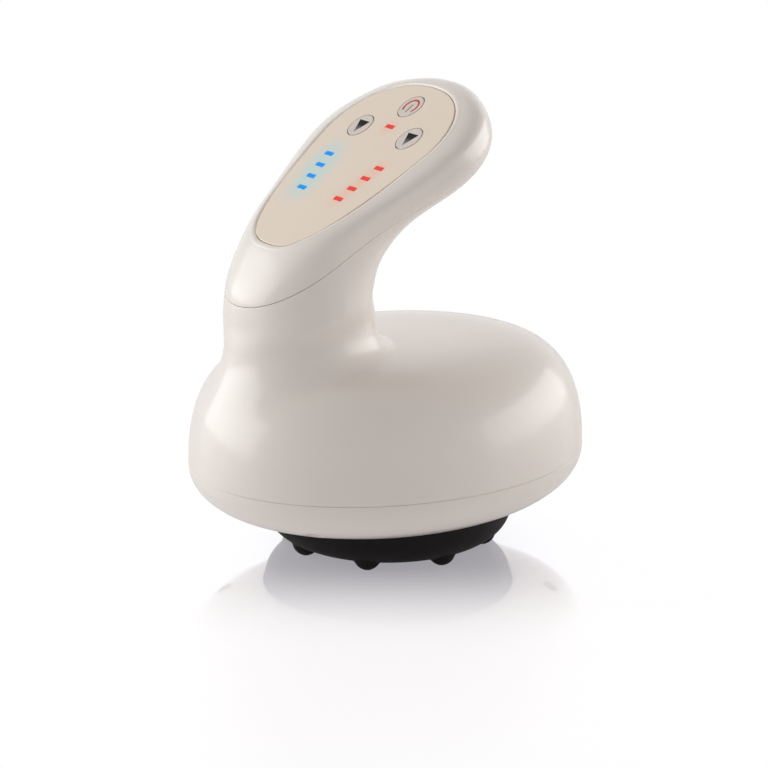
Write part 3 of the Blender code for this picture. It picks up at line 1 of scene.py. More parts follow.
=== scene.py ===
"""Looks for the handheld body massager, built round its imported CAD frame. Blender 4.5.

New pieces are surfaces worked out as whole numpy arrays, in millimetres and in the frame's axes:
+Z up, +X towards the handle's tip, the origin on the floor under the head.
"""

from math import atan2, cos, pi, radians, sin

import bmesh
import bpy
import numpy as np
from mathutils import Matrix, Vector


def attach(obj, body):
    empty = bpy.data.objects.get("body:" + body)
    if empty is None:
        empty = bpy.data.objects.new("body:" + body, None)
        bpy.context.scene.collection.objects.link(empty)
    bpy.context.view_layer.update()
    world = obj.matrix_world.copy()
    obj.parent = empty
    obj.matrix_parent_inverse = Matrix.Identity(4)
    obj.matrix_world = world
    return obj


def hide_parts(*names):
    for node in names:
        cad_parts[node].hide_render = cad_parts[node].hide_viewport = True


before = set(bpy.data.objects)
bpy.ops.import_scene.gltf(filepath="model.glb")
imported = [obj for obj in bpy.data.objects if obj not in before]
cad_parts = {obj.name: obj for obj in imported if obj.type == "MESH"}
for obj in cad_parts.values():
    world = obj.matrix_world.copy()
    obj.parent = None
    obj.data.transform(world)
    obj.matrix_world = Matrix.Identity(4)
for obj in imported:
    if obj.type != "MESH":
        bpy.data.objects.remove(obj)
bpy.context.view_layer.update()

MM = 0.001
HALF_LENGTH = 58.0
HALF_WIDTH = 47.5
BOTTOM_Z = 11.7
BOWL_FLAT = 0.6  # share of the way out to the rim at which the bowl's flat bottom ends
SEAM_Z = 26.0
DOME_HEIGHT = 33.0
DOME_TOP_Z = SEAM_Z + DOME_HEIGHT
DOME_POWERS = (5.25, 0.437)
HANDLE_HEIGHT = 71.5
HALF_HANDLE = 31.8
NECK_X = -28.42
NECK_HALVES = (20.6, 20.0)
FILLET = (7.0, 9.0)  # how far the fillet at the neck's foot goes out and up
WALL = 2.2
HALF_GAP = 0.035  # half of the gap at the seam and at the parting line
EDGE = 0.14  # radius of the walls' edges at both
LIFT = 0.5  # of the handle's top over the panel's plane
SHARP = 35  # degrees between two faces over which their edge is sharp
COLUMNS = 288  # points round each row of the housing

# Stations up the handle: rear x and z, front x and z, half width, share above the widest level,
# roundness above it and below it. x is in half lengths, z in handle heights over the dome, and
# the half width in half handles. Where z is nan the rear follows the panel's plane.
STATIONS = np.array((
    (-0.832, 0.136, -0.164, 0.256, 0.673, 0.50, 2.1, 2.1),
    (-0.822, 0.246, -0.126, 0.342, 0.650, 0.50, 2.1, 2.1),
    (-0.750, 0.344, -0.059, 0.414, 0.645, 0.48, 2.6, 2.1),
    (-0.624, np.nan, 0.017, 0.477, 0.676, 0.45, 3.5, 2.2),
    (-0.424, np.nan, 0.085, 0.533, 0.788, 0.40, 5.0, 2.3),
    (-0.212, np.nan, 0.147, 0.579, 0.939, 0.36, 5.5, 2.3),
    (0.000, np.nan, 0.212, 0.628, 1.007, 0.36, 5.0, 2.3),
    (0.162, np.nan, 0.296, 0.678, 0.889, 0.43, 4.0, 2.3),
    (0.235, np.nan, 0.349, 0.715, 0.765, 0.485, 3.2, 2.2),
    (0.288, 0.966, 0.390, 0.769, 0.611, 0.537, 2.6, 2.1),
    (0.356, 0.962, 0.408, 0.874, 0.331, 0.609, 2.2, 2.0),
))
TIP = (22.71, 125.9)
LAST = len(STATIONS)


def plane_through(low, high):
    """A plane's slope along x and its height over the origin, from two points of it that are
    given as the stations are."""
    slope = (HANDLE_HEIGHT * (high[1] - low[1])) / (HALF_LENGTH * (high[0] - low[0]))
    return slope, DOME_TOP_Z + HANDLE_HEIGHT * low[1] - slope * low[0] * HALF_LENGTH


PANEL_SLOPE, PANEL_Z = plane_through((-0.62, 0.4545), (0.25, 0.949))
PANEL_TILT = atan2(PANEL_SLOPE, 1)
PARTING_SLOPE, PARTING_Z = plane_through((-0.80, 0.227), (0.49, 0.877))

# The panel, in its own frame: l up the slope, y across, z out of the face
PANEL_HALF = 24.5
PANEL_FRONT = 21.376
PANEL_REAR = 42.624
PANEL_MIDDLE = -3.968
PANEL_POLE = -8  # l of the point that closes the plate's faces
PANEL_THICKNESS = 1.6
PANEL_EDGE = 0.22
PANEL_SHARP = 40
RECESS = 1.6  # how far outside the panel's outline the cover is cut to take the rim
KEY_RADIUS = 4.3
KEY_GAP = 0.32  # between a key's cap and its hole
KEY_EDGE = 0.1
KEYS = {"power": (9.216, 0.0), "suction": (-1.28, 12.005), "heat": (-1.28, -12.005)}
ARROW_POINT = -2.75
PRINT_TOP = 0.035  # over the key's face
PRINT_BOTTOM = -0.1
LIGHT_ROW = np.linspace((-13.312, 12.495), (-26.4, 9.212), 4)
LIGHTS = {"suction": LIGHT_ROW, "heat": LIGHT_ROW * (1, -1), "power": np.array([(0.896, 0.0)])}
LIGHT_SIZE = (1.12, 3.6)

HEAD_RADIUS = 35.0
SIDE_Z = 12.5  # where the head's side turns into its swell
LIP_RADIUS = 20.5
LIP_Z = 1.2
POCKET_GAP = 0.3
MOUTH_EDGE = 0.3  # radius of the pocket's edge
NUB_CIRCLE = 27.0
NUB_RADIUS = 3.8
NUB_MIDDLE_Z = 3.606
SOFT_STEP = 0.8
CASE_SCREWS = [(38.976 * sx, 24.51 * sy) for sx in (1, -1) for sy in (1, -1)]

TO_VIEWER = (-0.547, -0.837, 0)
ACROSS_VIEW = (0.837, -0.547, 0)
WALL_GREY = 0.80  # strength of the pale grey round the white backdrop


def placed(name, data):
    """A new object of the scene that holds a mesh, a lamp or a camera."""
    made = bpy.data.objects.new(name, data)
    bpy.context.scene.collection.objects.link(made)
    return made


def new_object(name, points, faces, sharp):
    """An object from points in millimetres and arrays of faces."""
    corners = np.concatenate([part.ravel() for part in faces]).astype(np.int32)
    sides = np.concatenate([np.full(len(part), part.shape[1]) for part in faces])
    mesh = bpy.data.meshes.new(name)
    mesh.vertices.add(len(points))
    mesh.vertices.foreach_set("co", (points * MM).astype(np.float32).ravel())
    mesh.loops.add(len(corners))
    mesh.loops.foreach_set("vertex_index", corners)
    mesh.polygons.add(len(sides))
    mesh.polygons.foreach_set("loop_start", (np.cumsum(sides) - sides).astype(np.int32))
    mesh.update(calc_edges=True)
    shape = bmesh.new()
    shape.from_mesh(mesh)
    bmesh.ops.remove_doubles(shape, verts=shape.verts, dist=1e-7)
    bmesh.ops.recalc_face_normals(shape, faces=shape.faces)
    shape.to_mesh(mesh)
    shape.free()
    mesh.polygons.foreach_set("use_smooth", np.ones(len(mesh.polygons), bool))
    mesh.set_sharp_from_angle(angle=radians(sharp))
    return placed(name, mesh)


def rows_object(name, rows, start=None, end=None, loop=False, on_panel=False, sharp=SHARP):
    """A surface through rows of points that each close on themselves. start and end are the
    points that close its two ends, and with loop the last row runs on into the first."""
    rows = np.asarray(rows, float)
    count, columns = rows.shape[:2]
    index = np.arange(count * columns).reshape(count, columns)
    points, caps = [rows.reshape(-1, 3)], []
    for apex, ring in ((start, index[0]), (end, index[-1])):
        if apex is not None:
            number = np.full(columns, index.size + len(caps))
            caps.append(np.column_stack([ring, np.roll(ring, -1), number]))
            points.append(np.reshape(apex, (1, 3)))
    if loop:
        index = np.vstack([index, index[:1]])
    index = np.column_stack([index, index[:, 0]])
    quads = np.stack([index[:-1, :-1], index[:-1, 1:], index[1:, 1:], index[1:, :-1]], -1)
    points = np.concatenate(points)
    return new_object(name, to_panel(points) if on_panel else points,
                      [quads.reshape(-1, 4), *caps], sharp)


def turned_rows(profile, steps):
    """Rows round the Z axis through the (radius, height) points of a profile."""
    profile = np.asarray(profile, float)
    angle = 2 * pi * np.arange(steps) / steps
    return np.stack([profile[:, :1] * np.cos(angle), profile[:, :1] * np.sin(angle),
                     np.repeat(profile[:, 1:], steps, axis=1)], -1)


def turned(name, profile, steps, place=(0, 0), on_panel=False):
    """A turned solid whose profile starts and ends on its axis, at a place of the plan."""
    profile = np.asarray(profile, float)
    rows = turned_rows(profile[1:-1], steps) + (*place, 0)
    return rows_object(name, rows, *((*place, profile[i, 1]) for i in (0, -1)), on_panel=on_panel)


def drill(radius, low, high, steps, place, on_panel=False):
    """A plain round cutter between two heights."""
    return turned("drill", [(0, low), (radius, low), (radius, high), (0, high)], steps, place,
                  on_panel)


def ellipse(angle, long, wide, power=2):
    """Points of an ellipse round the origin, or of a superellipse of another power."""
    return np.column_stack([long * np.cos(angle) ** (2 / power), wide * np.sin(angle) ** (2 / power)])


def level(plan, z):
    """Points of a plan at one height, or at a height each."""
    return np.concatenate([plan, (z + np.zeros(plan.shape[:-1]))[..., None]], -1)


def norms(vectors):
    """The vectors' lengths, as a last axis of one."""
    return np.linalg.norm(vectors, axis=-1, keepdims=True)


def round_ring(half, other_half, radius, steps):
    """A rectangle's outline with round corners, from its half sides."""
    turn = np.linspace(0, pi / 2, steps)
    quarter = ellipse(turn, radius, radius) + (half - radius, other_half - radius)
    return np.concatenate([quarter, quarter[::-1] * (-1, 1), -quarter, quarter[::-1] * (1, -1)])


def rounded(profile, radius):
    """A profile's corners turned into arcs: each corner moves to a curve that leaves and meets
    its two sides a radius away."""
    profile = np.asarray(profile, float)
    before, after = profile[:-2] - profile[1:-1], profile[2:] - profile[1:-1]
    reach = np.minimum(radius, np.minimum(norms(before), norms(after)) * 0.45)
    first = profile[1:-1] + before / norms(before) * reach
    last = profile[1:-1] + after / norms(after) * reach
    share = np.linspace(0, 1, 5)[None, :, None]
    arcs = ((1 - share) ** 2 * first[:, None] + 2 * share * (1 - share) * profile[1:-1, None]
            + share ** 2 * last[:, None])
    return np.concatenate([profile[:1], arcs.reshape(-1, 2), profile[-1:]])


def to_panel(points):
    """Points of the panel's frame in the object's frame."""
    along, across, out = np.moveaxis(np.asarray(points, float), -1, 0)
    return np.stack([along * cos(PANEL_TILT) - out * sin(PANEL_TILT), across,
                     PANEL_Z + along * sin(PANEL_TILT) + out * cos(PANEL_TILT)], -1)


def from_panel(points):
    """Points of the object's frame in the panel's frame."""
    x, y, z = np.moveaxis(np.asarray(points, float), -1, 0)
    z = z - PANEL_Z
    return np.stack([x * cos(PANEL_TILT) + z * sin(PANEL_TILT), y,
                     z * cos(PANEL_TILT) - x * sin(PANEL_TILT)], -1)


def cut(obj, other, sharp=SHARP):
    """The first of two closed shapes without the second, which is used up."""
    modifier = obj.modifiers.new("cut", "BOOLEAN")
    modifier.object = other
    modifier.operation = "DIFFERENCE"
    modifier.solver = "EXACT"
    graph = bpy.context.evaluated_depsgraph_get()
    mesh = bpy.data.meshes.new_from_object(obj.evaluated_get(graph))
    obj.modifiers.clear()
    obj.data = mesh
    bpy.data.objects.remove(other)
    mesh.set_sharp_from_angle(angle=radians(sharp))
    return obj


def joined(name, objects):
    """Several shapes as one object. They are used up."""
    shape = bmesh.new()
    for obj in objects:
        shape.from_mesh(obj.data)
        bpy.data.objects.remove(obj)
    mesh = bpy.data.meshes.new(name)
    shape.to_mesh(mesh)
    shape.free()
    mesh.set_sharp_from_angle(angle=radians(SHARP))
    return placed(name, mesh)


def spline_bend(rows):
    """Second derivatives of the natural cubic spline through each column of the rows."""
    count = len(rows)
    system = np.eye(count)
    inner = np.arange(1, count - 1)
    system[inner, inner - 1], system[inner, inner], system[inner, inner + 1] = 1, 4, 1
    right = np.zeros_like(rows)
    right[1:-1] = 6 * (rows[:-2] - 2 * rows[1:-1] + rows[2:])
    return np.linalg.solve(system, right)


def station_values():
    """Each station as centre x and z, half thickness squared, its direction, half width squared,
    share above and two powers. Squares, so that a spline through them closes roundly at the tip."""
    rear = STATIONS[:, :2] * (HALF_LENGTH, HANDLE_HEIGHT) + (0, DOME_TOP_Z)
    front = STATIONS[:, 2:4] * (HALF_LENGTH, HANDLE_HEIGHT) + (0, DOME_TOP_Z)
    line = PANEL_Z + PANEL_SLOPE * rear[:, 0] + LIFT / cos(PANEL_TILT)
    rear[:, 1] = np.where(np.isnan(rear[:, 1]), line, rear[:, 1])
    half = (front - rear) / 2
    values = np.column_stack([(rear + front) / 2, (half ** 2).sum(1),
                              np.arctan2(half[:, 1], half[:, 0]),
                              (STATIONS[:, 4] * HALF_HANDLE) ** 2, STATIONS[:, 5:]])
    tip = np.array((*TIP, 0, values[-1, 3], 0, 0.5, 2.1, 2.0))
    return np.vstack([values, tip])


VALUES = station_values()
BEND = spline_bend(VALUES)


def handle_point(angle, t):
    """Points of the handle. t runs from 0 at the neck's foot to LAST at the tip along a natural
    cubic spline of the stations. At each t the section is two half superellipses: with
    q = (|cos|^p + |sin|^p)^(-1/p), its reach is q cos(angle) and its side q sin(angle)."""
    low = np.clip(np.floor(t).astype(int), 0, LAST - 1)
    b = (t - low)[..., None]
    a = 1 - b
    row = (a * VALUES[low] + b * VALUES[low + 1]
           + ((a ** 3 - a) * BEND[low] + (b ** 3 - b) * BEND[low + 1]) / 6)
    x, z, thick, turn, wide, above, top, under = np.moveaxis(row, -1, 0)
    c, s = np.cos(angle), np.sin(angle)
    power = np.where(c < 0, top, under)
    q = (np.abs(c) ** power + np.abs(s) ** power) ** (-1 / power)
    along = above + np.where(c < 0, above, 1 - above) * c * q
    reach = (2 * along - 1) * np.sqrt(np.maximum(thick, 0))
    return np.stack([x + reach * np.cos(turn), np.sqrt(np.maximum(wide, 0)) * s * q,
                     z + reach * np.sin(turn)], -1)


def parting_side(points):
    """Signed distance from the parting plane, positive above it."""
    return (points[..., 2] - PARTING_Z - PARTING_SLOPE * points[..., 0]) / np.hypot(1, PARTING_SLOPE)


def halved(side, low, high):
    """The place between two, found by halving, where a rising value passes zero."""
    for _ in range(40):
        middle = (low + high) / 2
        above = side(middle) > 0
        low, high = np.where(above, low, middle), np.where(above, middle, high)
    return (low + high) / 2


def parting_curve(offset):
    """Angle and t of the ring on the handle that lies at a distance from the parting plane. At
    each t it is found by halving the angle, and its points are spread evenly along its length."""
    ends = [halved(lambda t, a=a: parting_side(handle_point(a, t)) - offset, np.array(0.0),
                   np.array(LAST - 0.2)) for a in (0.0, pi)]
    t = ends[0] + (ends[1] - ends[0]) * (1 - np.cos(np.linspace(0, pi, 3001))) / 2
    angle = halved(lambda a: parting_side(handle_point(a, t)) - offset, 0 * t, pi + 0 * t)
    angle[0], angle[-1] = 0, pi
    steps = np.linalg.norm(np.diff(handle_point(angle, t), axis=0), axis=1)
    length = np.concatenate([[0], np.cumsum(steps)])
    spots = np.linspace(0, length[-1], COLUMNS // 2 + 1)
    angle, t = np.interp(spots, length, angle), np.interp(spots, length, t)
    return np.concatenate([angle, 2 * pi - angle[-2:0:-1]]), np.concatenate([t, t[-2:0:-1]])


def spread_angles(power):
    """The columns' angles round the handle, closer together at the front or at the rear."""
    half = pi * np.linspace(0, 1, COLUMNS // 2 + 1) ** power
    return np.concatenate([half, 2 * pi - half[-2:0:-1]])


ANGLES = spread_angles(1.6)
TIP_ANGLES = spread_angles(0.6)


def inner_rows(rows, side, low=-np.inf):
    """Rows a wall's thickness inside the given ones, kept clear of the seam's level below and of
    the parting plane on one side of it."""
    around = np.roll(rows, -1, axis=1) - np.roll(rows, 1, axis=1)
    normal = np.cross(around, np.gradient(rows, axis=0))
    normal /= norms(normal)
    rows = rows - WALL * normal
    rows[..., 2] = np.maximum(rows[..., 2], low)
    over = np.maximum(side * parting_side(rows) + HALF_GAP, 0) * -side
    slope = np.hypot(1, PARTING_SLOPE)
    return rows + over[..., None] * np.array((-PARTING_SLOPE, 0, 1)) / slope


def edge_rows(offset, inwards):
    """Rows that round a wall's edge at the parting line, and the angle and t where they leave the
    surface: with e the edge's radius, g the way across the line on the surface and n its normal,
    each point is P - g e (1 - sin a) - n e (1 - cos a)."""
    angle, t = parting_curve(offset)
    step = 0.001
    spot = handle_point(angle, t)
    around = (handle_point(angle + step, t) - handle_point(angle - step, t)) / (2 * step)
    along = (handle_point(angle, t + step) - handle_point(angle, t - step)) / (2 * step)
    normal = np.cross(around, along)
    normal /= norms(normal)
    across = np.cross(normal, np.roll(spot, -1, axis=0) - np.roll(spot, 1, axis=0))
    across *= inwards * EDGE / norms(across)
    turn = np.linspace(0, pi / 2, 5)[1:, None, None]
    rows = spot - across * (1 - np.sin(turn)) - normal * EDGE * (1 - np.cos(turn))
    aa, ll, al, ca, cl = ((one * other).sum(1) for one, other in (
        (around, around), (along, along), (around, along), (across, around), (across, along)))
    whole = aa * ll - al ** 2
    return angle - (ca * ll - cl * al) / whole, t - (cl * aa - ca * al) / whole, rows


def rim_share(plan):
    """How far out points of the plan are, as a share of the way to the rim."""
    return np.hypot(plan[..., 0] / HALF_LENGTH, plan[..., 1] / HALF_WIDTH)


def dome_height(plan):
    """The dome over points of the plan: 26 + 33 (1 - r^5.25)^0.437, r being their rim_share."""
    share = np.minimum(rim_share(plan), 1)
    return SEAM_Z + DOME_HEIGHT * (1 - share ** DOME_POWERS[0]) ** DOME_POWERS[1]


def dome_rows(angle):
    """Rows from the seam over the dome and up the fillet to the neck. Each column runs in the
    plan from the rim's ellipse to the neck's, and the fillet is a quarter ellipse."""
    neck = ellipse(angle, *NECK_HALVES) + (NECK_X, 0)
    rim = ellipse(angle, HALF_LENGTH, HALF_WIDTH)
    foot = FILLET[0] / norms(rim - neck)
    low = SEAM_Z + HALF_GAP
    turn = np.linspace(pi / 2, 0, 5)[:, None, None]
    inward = EDGE * (1 - np.cos(turn)) / norms(rim)
    rounding = level(rim * (1 - inward), low + EDGE * (1 - np.sin(turn[..., 0])))
    left = (np.linspace(0, 1, 54)[1:-1] ** 2.2)[:, None, None]
    plan = rim + (neck - rim) * left * (1 - foot)
    dome = level(plan, dome_height(plan))
    rise = np.linspace(pi / 2, 0, 15)[:, None, None]
    plan = neck + (rim - neck) * foot * (1 - np.cos(rise))
    fillet = level(plan, dome_height(plan) + FILLET[1] * (1 - np.sin(rise[..., 0])))
    return np.concatenate([rounding, dome, fillet])


def neck_rows(low, angle):
    """Rows from the fillet's top to the handle's first station: a cubic that leaves upright and
    arrives along the handle."""
    high = handle_point(angle, 0 * angle)
    chord = norms(high - low)
    arrive = handle_point(angle, 0 * angle + 0.01) - high
    arrive *= chord / norms(arrive)
    leave = chord * (0, 0, 1)
    u = np.linspace(0, 1, 16)[1:-1, None, None]
    return ((2 * u ** 3 - 3 * u ** 2 + 1) * low + (u ** 3 - 2 * u ** 2 + u) * leave
            + (3 * u ** 2 - 2 * u ** 3) * high + (u ** 3 - u ** 2) * arrive)


def make_body_shell():
    """Dome, neck and the handle's underside up to the parting line, as one skin with its wall."""
    dome = dome_rows(ANGLES)
    neck = neck_rows(dome[-1], ANGLES)
    angle, stop, edge = edge_rows(-HALF_GAP, 1)
    share = np.linspace(0, 1, 84)[:, None]
    handle = handle_point(ANGLES + (angle - ANGLES) * share ** 1.6, share * stop)
    outer = np.concatenate([dome[4:], neck, handle])
    inner = inner_rows(outer, 1, SEAM_Z + HALF_GAP)
    inner[0, :, 2] = SEAM_Z + HALF_GAP
    rows = np.concatenate([dome[:4], outer, edge, inner[::-1]])
    shell = rows_object("body_shell_skin", rows, loop=True)
    slot = rounded_box("slot", (56.5, 0, 34.6), (4.5, 4.8, 1.9), 1.8)
    return cut(shell, slot)


def rounded_box(name, middle, halves, radius, steps=8):
    """A block along X whose section is a rectangle with round corners."""
    ring = round_ring(halves[1], halves[2], radius, steps)
    rows = np.array([np.column_stack([np.full(len(ring), x), ring]) for x in (-halves[0], halves[0])])
    rows += middle
    return rows_object(name, rows, rows[0].mean(0), rows[1].mean(0))


def teardrop():
    """The panel's outline: a rounded front, which is a superellipse of power 2.2, and a long
    tail, y = 24.5 (1 - s^1.15)^0.347 with s the share of the way back."""
    quarter = np.linspace(0, pi / 2, 45)
    nose = ellipse(quarter, PANEL_FRONT, PANEL_HALF, 2.2) + (PANEL_MIDDLE, 0)
    back = 1 - np.linspace(1, 0, 45)[1:] ** 2.6
    tail = np.column_stack([PANEL_MIDDLE - PANEL_REAR * back,
                            PANEL_HALF * np.maximum(1 - back ** 1.15, 0) ** 0.347])
    side = np.concatenate([nose, tail])
    outline = np.concatenate([side, side[-2:0:-1] * (1, -1)])
    length = np.linalg.norm(np.roll(outline, -1, axis=0) - outline, axis=1)
    length = np.concatenate([[0], np.cumsum(length)])
    closed = np.vstack([outline, outline[:1]])
    spots = length[-1] * np.arange(320) / 320
    return np.column_stack([np.interp(spots, length, closed[:, i]) for i in (0, 1)])


OUTLINE = teardrop()


def outset(distance):
    """The panel's outline moved outwards by a distance."""
    along = np.roll(OUTLINE, -2, axis=0) - np.roll(OUTLINE, 2, axis=0)
    normal = np.column_stack([along[:, 1], -along[:, 0]])
    return OUTLINE + distance * normal / norms(normal)


def outline_rows(section):
    """Rows along the teardrop through the (outset, height) points of a section. A height may be
    one number or a number for each point of the outline."""
    return np.array([level(outset(o), z) for o, z in section])


def plate(name, section, sharp=SHARP):
    """A solid of the panel's outline, closed at both ends of its section."""
    ends = [(PANEL_POLE, 0, section[i][1]) for i in (0, -1)]
    return rows_object(name, outline_rows(section), *ends, on_panel=True, sharp=sharp)


def surface_samples():
    """Points of the handle's upper side, in the panel's frame."""
    angle = np.linspace(0.5 * pi, 1.5 * pi, 260)
    t = LAST - (LAST - 0.5) * np.linspace(1, 0.02, 300)[:, None] ** 1.4
    return from_panel(handle_point(angle, t + 0 * angle)).reshape(-1, 3).astype(np.float32)


SAMPLES = surface_samples()


def surface_height(plan):
    """The handle's height over points of the panel's plane, from the three nearest samples."""
    gap = (plan[:, None, 0] - SAMPLES[:, 0]) ** 2 + (plan[:, None, 1] - SAMPLES[:, 1]) ** 2
    near = np.argpartition(gap, 3, axis=1)[:, :3]
    weight = 1 / (np.take_along_axis(gap, near, axis=1) + 1e-4)
    return (SAMPLES[near, 2] * weight).sum(1) / weight.sum(1)


def make_handle_cover():
    """The handle's top from the parting line to the tip, with the panel's recess and its rim."""
    angle, start, edge = edge_rows(HALF_GAP, -1)
    share = 1 - np.linspace(1, 0, 150)[:-1, None] ** 1.7
    body = handle_point(angle + (TIP_ANGLES - angle) * share ** 0.6, start + (LAST - start) * share)
    tip = np.array((TIP[0], 0, TIP[1]))
    rows = np.concatenate([body[::-1], edge, inner_rows(body, -1)])
    cover = rows_object("handle_cover_skin", rows, tip, tip - (WALL * cos(PANEL_TILT), 0, WALL))
    cut(cover, plate("hole", ((RECESS, -9), (RECESS, 6))))
    return joined("handle_cover_skin", [cover, make_rim()])


def make_rim():
    """The recess's rim. Its first points follow the handle's own surface, each higher or lower
    by its own rise; then come the recess's wall and the ledge under the panel."""
    spots = (0.15, 0.6, 1.05, 1.5, 1.95, 2.4)
    table = np.array([smoothed(surface_height(outset(o))) for o in spots])
    rise = ((2.3, -0.12), (2.1, -0.04), (1.9, 0.01), (1.6, 0.04), (1.3, 0.04), (1.0, 0.01), (0.75, -0.05),
            (0.55, -0.13), (0.38, -0.24), (0.25, -0.37), (0.17, -0.52), (0.14, -0.7))
    section = [(o, blend_rows(table, spots, o) + up) for o, up in rise]
    section += [(0.14, -1.7), (0.14, -1.9), (-4.5, -1.9), (-4.5, -3.7), (2.0, -3.7)]
    return rows_object("rim", outline_rows(section), loop=True, on_panel=True)


def smoothed(ring):
    """The values round a ring without their quick changes: its longest twenty waves."""
    parts = np.fft.rfft(ring)
    parts[20:] = 0
    return np.fft.irfft(parts, len(ring))


def blend_rows(table, spots, value):
    """A row between the rows of a table, at a value between its spots."""
    high = int(np.clip(np.searchsorted(spots, value), 1, len(spots) - 1))
    share = (value - spots[high - 1]) / (spots[high] - spots[high - 1])
    return table[high - 1] * (1 - share) + table[high] * share


def bowl_height(plan):
    """The bowl under the seam: flat in its middle, then a quarter ellipse up to the seam."""
    run = np.clip((rim_share(plan) - BOWL_FLAT) / (1 - BOWL_FLAT), 0, 1)
    return BOTTOM_Z + (SEAM_Z - BOTTOM_Z) * (1 - np.sqrt(1 - run ** 2))


def make_base_cover():
    """The bowl under the seam: rim, bowl, the head's round pocket, its floor, and the inside
    back to the rim, as rows round the middle."""
    angle = 2 * pi * np.arange(COLUMNS) / COLUMNS
    rim, circle = ellipse(angle, HALF_LENGTH, HALF_WIDTH), ellipse(angle, 1, 1)
    room = norms(rim)
    pocket = HEAD_RADIUS + POCKET_GAP
    mouth, inside = circle * (pocket + MOUTH_EDGE), circle * (pocket + 2.1)
    high = SEAM_Z - HALF_GAP
    rows = [level(rim * (1 - e / room), z) for e, z in
            ((EDGE, high), (0.12, high - 0.04), (0.03, high - 0.12))]
    for left in 1 - np.linspace(0, 1, 60) ** 2.4:
        plan = mouth + (rim - mouth) * left
        rows.append(level(plan, np.minimum(bowl_height(plan), high - EDGE)))
    for turn in np.linspace(0, pi / 2, 6)[1:]:
        plan = circle * (pocket + MOUTH_EDGE * (1 - sin(turn)))
        rows.append(level(plan, bowl_height(plan) + MOUTH_EDGE * (1 - cos(turn))))
    rows += [level(circle * r, z) for r, z in
             ((pocket, 16.5), (6.0, 16.5), (6.0, 18.6), (pocket + 1.8, 18.6))]
    for left in (0.3, 0.55, 0.75, 0.88):
        plan = inside + (rim * (1 - WALL / room) - inside) * left
        rows.append(level(plan, bowl_height(plan * (1 + 1.2 / room)) + WALL))
    rows += [level(rim * (1 - e / room), z) for e, z in
             ((3.6, 23.8), (3.6, 28.2), (2.5, 28.2), (2.5, high))]
    bowl = rows_object("base_cover_skin", rows, loop=True)
    cut(bowl, joined("wells", [drill(2.49, 8, 22, 48, place) for place in CASE_SCREWS]))
    return joined("base_cover_skin", [bowl, *map(make_boss, CASE_SCREWS)])


def make_boss(place):
    """A screw's tube: its first two points are inside the bowl's wall, and a shelf at 21.5 bears
    the screw."""
    section = ((2.5, 0), (2.8, 0), (2.8, 23.5), (1.5, 23.5), (1.5, 21.5), (2.5, 21.5))
    rows = turned_rows(section, 48) + (*place, 0)
    rows[:2, :, 2] = bowl_height(rows[:2]) + WALL / 2
    return rows_object("boss", rows, loop=True)


def head_profile():
    """The head's section: port, hub, well, side, swell to the lip, cup and filter seat, with a
    mark on the points where nubs may stand. The swell is a superellipse of power 2.4."""
    turn = np.linspace(0, pi / 2, 74)
    swell = ellipse(turn, HEAD_RADIUS - LIP_RADIUS, LIP_Z - SIDE_Z, 2.4) + (LIP_RADIUS, SIDE_Z)
    cup = ellipse(np.linspace(0, pi / 2, 24), 6.5, 8.8) + (11, LIP_Z)
    top = rounded([(1.5, 24.6), (2.5, 24.6), (2.5, 16.2), (10.5, 16.2), (10.5, 12.4), (13.4, 12.4),
                   (20.5, 7.5), (26.5, 7.5), (32.4, 13.7), (32.4, 16.2), (HEAD_RADIUS, 16.2),
                   (HEAD_RADIUS, 12.6)], 0.4)
    lip = np.column_stack([np.linspace(20.3, 17.7, 8), LIP_Z - 0.12 * np.sin(np.linspace(0, pi, 8))])
    end = rounded([(11, 10), (8.1, 10), (8.1, 14.2), (1.5, 14.2), (1.5, 14.4)], 0.3)
    profile = np.concatenate([top, swell, lip, cup, end[1:]])
    marked = np.zeros(len(profile), bool)
    marked[len(top):len(top) + len(swell) + len(lip)] = True
    return profile, marked


def make_head():
    """The black head. Its underside is the smooth minimum of the turned swell and of eight
    round-ended pins: h = max(a, b) with a soft step, both taken downwards. The pins' ends level
    out under 0.12."""
    profile, marked = head_profile()
    rows = turned_rows(profile, 560)
    x, y, z = np.moveaxis(rows[marked], -1, 0)
    angle = np.arctan2(y, x)
    nearest = np.round(angle / (pi / 4)) * (pi / 4)
    away = np.hypot(x - NUB_CIRCLE * np.cos(nearest), y - NUB_CIRCLE * np.sin(nearest))
    inside = np.clip(1 - (away / NUB_RADIUS) ** 2, 0, 1)
    pin = NUB_MIDDLE_Z - NUB_RADIUS * np.sqrt(inside) + np.maximum(away - NUB_RADIUS, 0) * 3
    pin = np.where(pin < 0.12, 0.12 * np.exp((pin - 0.12) / 0.3) - 0.12 * np.exp(-0.4), pin)
    soft = np.clip(0.5 + 0.5 * (z - pin) / SOFT_STEP, 0, 1)
    z = z * (1 - soft) + pin * soft - SOFT_STEP * soft * (1 - soft)
    rows[marked] = np.stack([x, y, np.maximum(z, 0)], -1)
    return rows_object("massage_head_skin", rows, loop=True, sharp=50)


def make_filter_cap():
    """The round grille in the cup's ceiling: a disc with a soft edge and six holes."""
    cap = turned("filter_cap_skin", rounded([(0, 10.0), (7.8, 10.0), (7.8, 11.6), (0, 11.6)], 0.35),
                 96)
    holes = [drill(0.9, 9, 12.5, 32, (3.9 * cos(a), 3.9 * sin(a)))
             for a in 2 * pi * np.arange(6) / 6]
    return cut(cap, joined("holes", holes))


